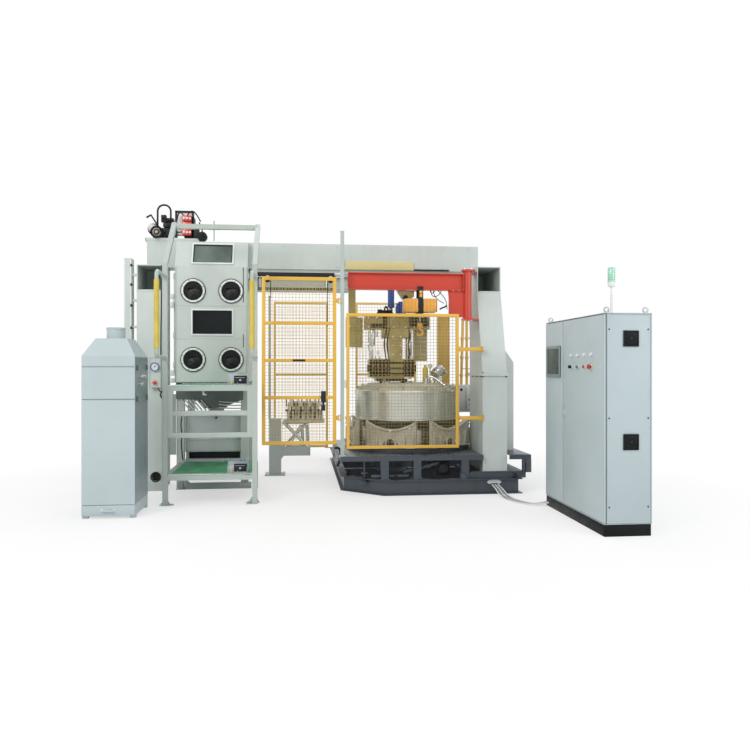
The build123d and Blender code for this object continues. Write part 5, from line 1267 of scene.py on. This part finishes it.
def manipulator_frame():
    """Lift and rams of the manipulator, with the gear and ribs of its frame."""
    lift = Piece().lathe((785, 440, 2536), UP,
                         ((0, 40), (4, 52), (30, 52), (34, 47), (290, 47), (292, 54), (296, 54)), 32)
    lift.done("lift_barrel", "machine", "blue")
    left, right, low, high = 400, 1325, 2217, 2406
    ram = Piece().lathe((925, 380, high - 2), UP,
                        ((0, 46), (22, 46), (26, 36), (196, 36), (200, 42), (214, 42), (218, 20)), 28)
    ram.lathe((870, 360, high - 2), UP, ((0, 30), (150, 30), (156, 18), (190, 18)), 20)
    ram.done("small_ram", "manipulator", "blue")
    tops = Piece().blocks(((560, 800), (288, 328), (high, 2456)), ((575, 640), (290, 326), (2456, 2500)))
    tops.prism(((292, 2456), (328, 2456), (322, 2490), (298, 2490)), 0, 640, 780)
    tops.blocks(((455, 520), (290, 328), (high, 2436)), ((1080, 1200), (290, 328), (high, 2440)))
    tops.done("frame_top_gear", "manipulator", "black", bevel=4)
    ribs, skin = Piece(), (284, 300)
    for x in range(430, 1320, 148):
        ribs.block((x, x + 12), skin, (2221, 2402))
    ribs.blocks(((left, right), skin, (low, low + 14)), ((left, right), skin, (high - 14, high)),
                ((640, 1020), (262, 272), (2094, 2120)), ((640, 655), (262, 300), (2091, low)),
                ((1008, 1022), (262, 300), (2091, low)))
    ribs.prism(((745, 2091), (925, 2091), (905, 2040), (765, 2040)), 1, 276, 290)
    ribs.blocks(((752, 938), (272, 281), (1900, 1912)), ((752, 938), (272, 281), (1700, 1712)))
    ribs.done("olive_frame_ribs", "manipulator", "olive", bevel=2)
    clamps = Piece()
    for x, foot in ((500, 1983), (1020, 1760)):
        clamps.lathe((x, 330, foot - 6), UP, ((0, 30), (6, 38), (2200 - foot, 38), (2206 - foot, 30)), 24)
        clamps.rod((x, 330, 1750), (x, 330, foot), 15)
    clamps.rod((455, 320, 2195), (455, 320, 2020), 22).rod((560, 326, 2190), (560, 326, 2100), 18)
    clamps.rod((1062, 320, 2200), (1062, 320, 1830), 16)
    clamps.pipe(((465, 300, 2020), (440, 296, 1960), (470, 296, 1880), (455, 296, 1800),
                 (480, 290, 1780)), 16)
    clamps.blocks(((430, 470), (296, 330), (1940, 2010)), ((560, 600), (300, 340), (1850, 1900)))
    clamps.done("clamp_cylinders", "manipulator", "bright", bevel=2)


def gripper_jaws():
    """The dark jaws with their hoses, bolts and side plates."""
    fingers, face = (1540, 1770), (244, 262)
    jaws = Piece()
    for x in (457, 520, 585, 645, 705):
        jaws.block((x, x + 38), face, fingers)
    for x in (945, 1000, 1055):
        jaws.block((x, x + 36), face, fingers)
    for z in (1560, 1640, 1720):
        jaws.block((450, 1108), (236, 252), (z, z + 26))
    jaws.blocks(((556, 1000), (262, 282), (1462, 1500)), ((600, 650), (250, 300), (1430, 1470)),
                ((905, 955), (250, 300), (1430, 1470)), ((430, 460), (280, 400), (1600, 1700)),
                ((1102, 1130), (280, 400), (1600, 1700)), ((650, 700), (262, 300), (2225, 2395)))
    for x in (500, 560, 620, 680, 960, 1020, 1080):
        jaws.lathe((x, 236, 1600), FRONT, ((0, 16), (12, 16), (14, 9), (30, 9)), 14)
    jaws.blocks(((480, 640), (270, 300), (2240, 2290)), ((1040, 1300), (270, 300), (2250, 2380)))
    for x in (700, 740):
        jaws.pipe(((x, 280, 2230), (x - 14, 262, 2150), (x - 40, 262, 2000), (x - 20, 256, 1860),
                   (x - 10, 262, 1770)), 11)
    jaws.pipe(((1010, 280, 2240), (1045, 256, 2120), (1000, 256, 1980), (1040, 256, 1850),
               (1010, 262, 1780)), 11)
    jaws.pipe(((690, 282, 2400), (660, 270, 2500), (700, 270, 2560), (730, 290, 2460)), 12)
    jaws.done("gripper_jaws", "manipulator", "jaw", bevel=3)

    bits = Piece()
    for x, z in ((470, 1790), (540, 1790), (600, 1788), (1000, 1788), (1070, 1790), (520, 1500),
                 (1040, 1500)):
        bits.lathe((x, 290, z - 6), UP, ((0, 20), (16, 20), (18, 11), (44, 11)), 14)
    bits.bolts(grid((440, 560, 690, 800, 980, 1100, 1220, 1300), (284,), (2246, 2380)), FRONT, 13)
    for z, x in grid((2105, 1980, 1850, 1720, 1600), (790, 900)):
        bits.bolt((x, 279 if z < 2090 else 262, z), FRONT, 11)
    bits.blocks(((660, 720), (236, 262), (1790, 1800)), ((955, 990), (238, 262), (1500, 1530)))
    bits.done("gripper_bolts", "manipulator", "bright")
    side = Piece()
    for z in range(1790, 2200, 62):
        side.block((1126, 1329), (494, 500), (z, z + 10))
    for x in (1130, 1225, 1318):
        side.block((x, x + 8), (490, 500), (1762, 2215))
    side.done("side_plate_ribs", "manipulator", "bin", bevel=1)


def manipulator_head():
    """Olive plates and a roller on the head that carries the lift."""
    head = Piece().prism(((866, 2828), (1124, 2828), (1124, 2700), (1060, 2676), (962, 2676)), 1, 452, 460)
    head.bolts(((900, 452, 2800), (1090, 452, 2800)), FRONT, 13)
    for z in (2020, 2100, 2180, 2260, 2340):
        head.block((340, 384), (545, 550), (z, z + 30))
    head.blocks(((166, 277), (514, 520), (2380, 2410)), ((166, 277), (514, 520), (1962, 1985)))
    head.done("olive_head_plates", "machine", "olive", bevel=2)
    roller = Piece().lathe((1000, 460, 2690), FRONT, ((0, 34), (26, 34), (28, 16), (40, 16)), 24)
    roller.blocks(((960, 1040), (420, 460), (2810, 2828)), ((1120, 1180), (380, 460), (2780, 2828)))
    roller.done("head_roller", "machine", "black", bevel=2)


def feed_column():
    """Ribs of the feed column, its boxes, and the sleeves of its pipes."""
    front, (low, high) = box_mm("feed_column")[1][0], box_mm("feed_column")[2]
    feed = Piece()
    for z in range(1700, 2460, 150):
        feed.block((1626, 1817), (front - 6, front), (z, z + 8))
    for x in (1626, 1803):
        feed.block((x, x + 14), (front - 10, front), (low + 12, high))
    feed.bolts(grid((1610, 1833), (1210, 1290), (low + 20,)), UP, 16)
    feed.done("feed_column_ribs", "machine", "fence", bevel=2)
    face = 994
    boxes = Piece().blocks(((1770, 2205), (face, 1000), (970, 1398)),
                           ((1790, 1880), (980, face), (1010, 1370)),
                           ((1900, 2010), (975, face), (1020, 1380)),
                           ((2040, 2190), (960, face), (1000, 1360)))
    boxes.done("feed_boxes", "machine", "white", bevel=4)
    details = Piece().blocks(((2070, 2160), (955, 960), (1150, 1180)),
                             ((2070, 2160), (955, 960), (1090, 1100)))
    for z, x in grid((1350, 1030), (1800, 1870)):
        details.bolt((x, 980, z), FRONT, 8)
    details.disc((1955, 975, 1320), FRONT, 20, 16, 16).done("feed_box_details", "machine", "black")
    sleeves = Piece()
    for share, z in grid((-0.5, 0, 0.5), (1520, 1800, 2100)):
        # The pipes draw together by three tenths on their way up.
        x = 2070 + share * 180 * (1 - 0.3 * (z - 1383) / 1040)
        sleeves.lathe((x, 1090, z), UP, ((0, 22), (4, 30), (40, 30), (44, 22)), 20)
    sleeves.blocks(((1985, 2155), (1076, 1104), (1640, 1652)), ((2000, 2140), (1030, 1150), (2423, 2431)))
    sleeves.done("pipe_sleeves", "machine", "fence", bevel=1)


def core_setting_table():
    """Stand, scissor and fixture of the core setting table, with the jacks and posts beside it."""
    stand = Piece().blocks(((-1074, -765), (1137, 1443), (0, 16)), ((-1015, -824), (1196, 1384), (860, 874)))
    stand.bolts(grid((-1052, -788), (1160, 1420), (14,)), UP, 14)
    stand.block((-832, -377), (1192, 1200), (300, 436))
    stand.prism(((-828, 305), (-780, 305), (-828, 240)), 1, 1260, 1320)
    stand.done("table_stand_plates", "machine", "grey", bevel=2)
    left, right, low, high = -760, -420, 450, 800
    scissor = Piece()
    for y in (1186, 1344):
        scissor.rod((left, y, low), (right, y, high), 11).rod((right, y, low), (left, y, high), 11)
    for x, z in ((-590, 625), (left, low + 2), (right, low + 2), (left, high - 2), (right, high - 2)):
        scissor.rod((x, 1180, z), (x, 1400, z), 13, 12)
    for y in (1230, 1330):
        scissor.rod((-700, y, 470), (-520, y, 760), 22)
    scissor.done("scissor_pins", "machine", "bright")

    plate = 866
    fixture = Piece().blocks(((-796, -159), (1134, 1140), (806, 864)),
                             ((-700, -240), (1120, 1134), (826, 842)))
    for x in range(-730, -200, 74):
        fixture.blocks(((x, x + 34), (1120, 1170), (plate, 930)),
                       ((x + 8, x + 26), (1112, 1120), (930, 1000)),
                       ((x, x + 40), (1150, 1185), (1010, 1060)))
    for x in (-700, -560, -420, -280):
        fixture.block((x, x + 60), (1140, 1190), (1060, 1140))
    fixture.done("fixture_blocks", "machine", "cast", bevel=3)
    rods = Piece()
    for x in range(-720, -210, 46):
        rods.block((x, x + 10), (1158, 1166), (plate, 1130))
    for z in (900, 960, 1020, 1080):
        rods.block((-735, -205), (1156, 1164), (z, z + 9))
    for x in (-745, -640, -510, -380, -250):
        rods.rod((x, 1150, 1060), (x, 1150, 1180), 8).block((x - 16, x + 16), (1130, 1150), (990, 1020))
    rods.done("fixture_rods", "machine", "black", bevel=1)
    pins = Piece()
    for x in (-720, -600, -470, -340, -230):
        pins.lathe((x, 1130, plate + 2), UP, ((0, 16), (60, 16), (64, 8), (110, 8)), 14)
        pins.lathe((x + 40, 1270, 1140), UP, ((0, 18), (30, 18), (34, 9), (60, 9)), 14)
    pins.done("fixture_pins", "machine", "bright")

    jack_pixels = ((303, 449), (302, 426)), ((308, 449), (307, 426))
    jacks = Piece()
    for pixels in jack_pixels:
        jacks.rod(*seen_line(pixels, 1250), 26, 20)
    jacks.done("light_blue_jacks", "machine", "sky")
    post_edges = (268.4, 298, 271, 400)
    (post_left, post_right), _, (_, post_top) = seen_box(post_edges, 1290)
    posts = Piece().blocks(((14, 50), (2150, 2186), (BEAM_TOP, 612)),
                           ((10, 62), (2140, 2196), (BEAM_TOP, 208)),
                           ((post_left, post_right), (1272, 1308), (874, post_top)))
    posts.done("grey_posts", "machine", "grey", bevel=2)


def cabinet_sides():
    """Seams, screws, fan filters, eyes, roof and plinth of the control cabinet."""
    left, right = box_mm("cabinet_plinth")[0]
    near, far = -3134, box_mm("cabinet_body")[1][1]
    low, high = 128, 2190
    seam = (near - 1.5, near)
    seams = Piece().blocks(((left, 2920), seam, (high - 2, high)), ((left, 2920), seam, (low, low + 2)),
                           ((2447, 2449), seam, (low + 2, high)), ((2908, 2910), seam, (low + 2, high)))
    seams.done("side_panel_seams", "machine", "black")
    panel = Piece().block((2462, 2896), (near - 2.5, near), (150, 2170))
    panel.done("side_panel", "machine", "pale", bevel=2)
    screws = Piece()
    for x, z in grid((2478, 2880), (290, 1165, 2040)):
        screws.lathe((x, near - 2.5, z), FRONT, ((0, 8), (3, 8), (4, 6)), 14)
    for x, z in grid((2480, 2640, 2860), (300, 2050)):
        screws.disc((x, far, z), REAR, 8, 3, 14)
    screws.done("panel_screws", "machine", "black")

    vent_x, half = 2701, 79
    vents, slats, rings = Piece(), Piece(), Piece()
    for z in (930, 1950):
        vents.frame((vent_x - half, vent_x + half), (z - half, z + half), near - 15, 12, 13)
        vents.block((vent_x - half + 2, vent_x + half - 2), (near - 11.5, near - 1),
                    (z - half + 2, z + half - 2))
        for k in range(13):
            edge = z - 66 + 10.2 * k
            slat = ((near - 13, edge), (near - 11, edge), (near - 4, edge + 8), (near - 6, edge + 8))
            slats.prism(slat, 0, vent_x - 67, vent_x + 67)
        rings.ring((vent_x, near - 15, z), FRONT, 46, 43, 2, 40)
        rings.disc((vent_x, near - 14, z), FRONT, 13, 4, 24)
    vents.done("vent_frames", "machine", "plinth", bevel=2)
    slats.done("vent_slats", "machine", "plinth")
    rings.done("vent_rings", "machine", "rubber")
    eyes = Piece()
    for x, y in grid((2472, 2875), (near + 45, far - 45)):
        eyes.ring((x, y, 2238), (-0.8, -0.6, 0), 28, 17, 10, 28)
        eyes.lathe((x, y, 2200), UP, ((0, 20), (6, 20), (10, 12), (14, 12)), 20)
    eyes.done("lifting_eyes", "machine", "bright")
    roof = Piece().block((2424, 2924), (near - 3, far + 3), (2196, 2203))
    roof.done("roof_edge", "machine", "pale", bevel=2)
    skirt = Piece().blocks(((left + 1, right - 1), (near + 4, near + 6), (6, 114)),
                           ((left - 2, left), (near + 14, far - 14), (6, 114)))
    skirt.bolts(((2460, near + 4, 60), (2890, near + 4, 60)), FRONT, 10)
    skirt.done("plinth_panels", "machine", "plinth", bevel=1)


def cabinet_doors():
    """Buttons, tags, skins, lock and screen of the cabinet's two doors."""
    face = box_mm("cabinet_body")[0][0]
    columns, upper, lower = (-2844, -2668, -2492, -2316), 1797, 1672
    upper_looks = ("lens_white", "lens_white", "white", "white")
    lower_looks = ("lens_red", "lens_red", "lens_dark_green", "black")
    buttons = [(y, upper, look) for y, look in zip(columns, upper_looks)]
    buttons += [(y, lower, look) for y, look in zip(reversed(columns), reversed(lower_looks))]
    stop = buttons[-1]
    bezels = Piece()
    for index, (y, z, look) in enumerate(buttons):
        bezels.lathe((face, y, z), LEFT, ((0, 22), (6, 22), (9, 18.5), (12, 18.5)), 28)
        cap, start = Piece(), (face - 10, y, z)
        if look == "black":
            cap.lathe(start, LEFT, ((0, 17), (14, 16)), 24)
            cap.block((face - 44, face - 22), (y - 5, y + 5), (z - 17, z + 17))
        elif buttons[index] == stop:
            cap.lathe(start, LEFT, ((0, 16), (16, 16), (18, 26), (30, 28), (36, 20)), 28)
        else:
            cap.lathe(start, LEFT, ((0, 17), (12, 16.5), (17, 12), (18, 3)), 24)
        cap.done(f"button_{index + 1}", "cabinet_near_door", look)
    bezels.done("button_bezels", "cabinet_near_door", "bright")
    ring = Piece().lathe((face, stop[0], stop[1]), LEFT, ((0, 34), (4, 34), (5, 30)), 32)
    ring.done("stop_ring", "cabinet_near_door", "lens_yellow")
    tags = Piece()
    for y, z, _ in buttons:
        tags.block((face - 1.6, face), (y - 20, y + 20), (z + 32, z + 46))
    tags.done("bare_tags", "cabinet_near_door", "rubber")
    doors = (("near", "cabinet_near_door", (-3126, -2065)), ("far", "cabinet_far_door", (-2045, -1502)))
    for door, body, y in doors:
        skin = Piece().block((face - 2, face), y, (139, 2181))
        skin.done(f"{door}_door_skin", body, "pale", bevel=4)
    lock = Piece().block((face - 12, face), (-2112, -2092), (1100, 1200))
    lock.disc((face, -2102, 1235), LEFT, 14, 8, 20)
    lock.block((face - 24, face - 12), (-2108, -2096), (1110, 1190))
    lock.done("door_lock", "cabinet_near_door", "bright", bevel=2)
    screen = box_mm("touch_screen")[0][0]
    bezel = Piece().frame((-1994, -1550), (1552, 1915), 0, 34, 12, spin(screen, 0, 90))
    bezel.done("screen_bezel", "cabinet_far_door", "galvanised", bevel=4)
    glass = Piece().block((screen - 8, screen), (-1962, -1582), (1584, 1882))
    glass.done("screen_glass", "cabinet_far_door", "screen", bevel=1)


def signal_tower():
    """The pole, the lens and the rings of the signal tower on the cabinet's roof."""
    (left, right), (front, rear), (low, _) = box_mm("signal_tower")
    foot = Vector(((left + right) / 2, (front + rear) / 2, low))
    lens = foot + Vector((0, 0, 346))
    pole = Piece().lathe(foot, UP, ((0, 34), (6, 34), (10, 14), (296, 12), (300, 30), (304, 38), (340, 39),
                                    (346, 39)), 36)
    pole.done("tower_pole", "machine", "white", replaces=("signal_tower",))
    cover = Piece().lathe(lens, UP, ((0, 37), (2, 38), (144, 38), (148, 36), (154, 24), (154, 4)), 36)
    cover.done("tower_lens", "machine", "lens_green")
    rings = Piece()
    for k in range(6):
        rings.ring(lens + Vector((0, 0, 14 + 22 * k)), UP, 39, 37, 5, 36)
    rings.ring(lens, UP, 40, 36, 5, 36).done("tower_rings", "machine", "lens_white")


def dust_collector():
    """Seams, sheets, latches, spout, knobs, drawer and feet of the dust collector."""
    (left, right), (front, rear), (low, _) = box_mm("dust_body")
    seams = Piece()
    for y, z in grid((front - 5, rear + 3), (1310, 1671)):
        seams.block((left + 2, right - 2), (y, y + 3), (z, z + 3))
    for x, z in grid((left - 2, right), (1310, 1671)):
        seams.block((x, x + 2), (front + 2, rear - 2), (z, z + 3))
    seams.done("dust_seams", "machine", "inside")
    sheets = Piece()
    for span in ((152, 1306), (1318, 1667), (1679, 1780)):
        sheets.block((right - 1, right + 1), (front, rear + 2), span)
    sheets.done("dust_side_sheets", "machine", "galvanised")
    latches = Piece()
    for z in (1310, 1660):
        for y in (-1690, -1200):
            latches.blocks(((right, right + 10), (y, y + 44), (z - 30, z + 34)),
                           ((right + 10, right + 20), (y + 12, y + 32), (z - 24, z + 26)))
        for x in (-2400, -2880):
            latches.block((x, x + 26), (rear, rear + 10), (z - 30, z + 34))
    latches.done("dust_latches", "machine", "inside", bevel=2)

    x, y = (left + right) / 2, (front + rear) / 2
    spout = Piece().ring((x, y, 2100), UP, 106, 96, 12, 48).ring((x, y, 1988), UP, 118, 99, 8, 48)
    for k in range(8):
        turn = math.radians(45 * k)
        spout.bolt((x + 110 * math.cos(turn), y + 110 * math.sin(turn), 1996), UP, 7)
    spout.done("outlet_flanges", "machine", "pale", bevel=1)
    knobs = Piece()
    for y, z in ((-1560, 1560), (-1440, 1560), (-1560, 1480)):
        knobs.lathe((right, y, z), RIGHT, ((0, 10), (30, 10), (32, 24), (50, 24), (54, 16)), 20)
    knobs.done("dust_knobs", "machine", "bright")
    drawer = Piece().block((left + 4, right - 4), (front - 3, front), (36, 143))
    drawer.done("drawer_skin", "sand_drawer", "pale", bevel=2)
    ends, handle_z = (-2700, -2570), 92
    bow = Piece().pipe(((ends[0], front - 2, handle_z), (ends[0], front - 30, handle_z),
                        (ends[1], front - 30, handle_z), (ends[1], front - 2, handle_z)), 6)
    for x in ends:
        bow.lathe((x, front, handle_z), FRONT, ((0, 18), (6, 18), (8, 12)), 20)
    bow.done("drawer_bow", "sand_drawer", "bright")
    shoes = Piece()
    for x, y in grid((left, right - 60), (front + 20, rear - 60)):
        shoes.block((x + 2, x + 58), (y + 2, y + 58), (low, 28)).bolt((x + 30, y - 1, 14), FRONT, 7)
    shoes.done("dust_shoes", "machine", "bin", bevel=2)


for work in (base_trim, deck_trim, cable_port, furnace_drum_and_lid, lid_fittings, saddles_and_step,
             column_trim, beam_trim, pump_motor, valves_and_hoses, glove_ports, cabin_windows,
             cabin_edges_and_hoses, under_the_cabin, gauge_box, platforms, portal_trim, foot_switches,
             front_gate, middle_gate, rear_fence, jib_crane, hoist, hook, manipulator_frame, gripper_jaws,
             manipulator_head, feed_column, core_setting_table, cabinet_sides, cabinet_doors, signal_tower,
             dust_collector):
    work()
bpy.data.objects.remove(BOLT)

# Floor and light


def white_to_the_eye(tree, surface_shader, share=None):
    """Mixes a shader with plain white, for what the camera, a mirror or a pane shows of it."""
    rays = add_node(tree, "ShaderNodeLightPath", {})
    looked_at = rays["Is Camera Ray"]
    for kind in ("Is Glossy Ray", "Is Transmission Ray"):
        looked_at = add_node(tree, "ShaderNodeMath", {0: looked_at, 1: rays[kind]},
                             operation="MAXIMUM")["Value"]
    if share is not None:
        looked_at = add_node(tree, "ShaderNodeMath", {0: looked_at, 1: share}, operation="MULTIPLY")["Value"]
    kind = "ShaderNodeBackground" if tree.nodes.get("World Output") else "ShaderNodeEmission"
    white = add_node(tree, kind, {"Color": (1, 1, 1, 1), "Strength": 1.0})[0]
    return add_node(tree, "ShaderNodeMixShader", {0: looked_at, 1: surface_shader, 2: white})[0]


# Seamless paper under the machine: it keeps the shadows near by, and fades into the white wall.
paper = surface("studio_paper", "#F4F4F2", 0.88, patch=1600, change=0.01, grain=12)
tree = paper.node_tree
place = add_node(tree, "ShaderNodeTexCoord", {})["Object"]
away = add_node(tree, "ShaderNodeVectorMath", {0: place}, operation="LENGTH")["Value"]
fade = add_node(tree, "ShaderNodeMapRange", {"Value": away, "From Min": 3.0, "From Max": 5.6, "To Min": 0.55,
                                             "To Max": 1.0})["Result"]
output = tree.nodes["Material Output"]
set_inputs(output, {"Surface": white_to_the_eye(tree, tree.nodes["Principled BSDF"].outputs["BSDF"], fade)})
bpy.ops.mesh.primitive_plane_add(size=120)
floor = bpy.context.object
floor.name = "studio_floor"
floor.data.materials.append(paper)

world = bpy.data.worlds.new("studio_world")
scene.world = world
world.use_nodes = True
background = world.node_tree.nodes["Background"]
set_inputs(background, {"Color": (0.95, 0.97, 1.0, 1), "Strength": 0.62})
output = world.node_tree.nodes["World Output"]
set_inputs(output, {"Surface": white_to_the_eye(world.node_tree, background.outputs["Background"])})


def lamp(name, place, target, size, power, tint):
    """A round soft light that faces a point."""
    turn = (Vector(target) - Vector(place)).to_track_quat("-Z", "Y").to_euler()
    bpy.ops.object.light_add(type="AREA", location=place, rotation=turn)
    light = bpy.context.object
    light.name = name
    light.data.shape = "DISK"
    light.data.size = size
    light.data.energy = power
    light.data.color = tint


lamp("key_lamp", (-6.5, -9.0, 7.5), (0, 0, 1.5), 5.0, 500, (1.0, 0.985, 0.96))
lamp("fill_lamp", (8.0, -8.0, 5.0), (0.8, 0, 1.4), 6.0, 265, (0.95, 0.98, 1.0))
lamp("top_lamp", (0, 1.5, 9.0), (0, 0, 1), 7.0, 210, (1, 1, 1))

scene.view_settings.view_transform = "Standard"
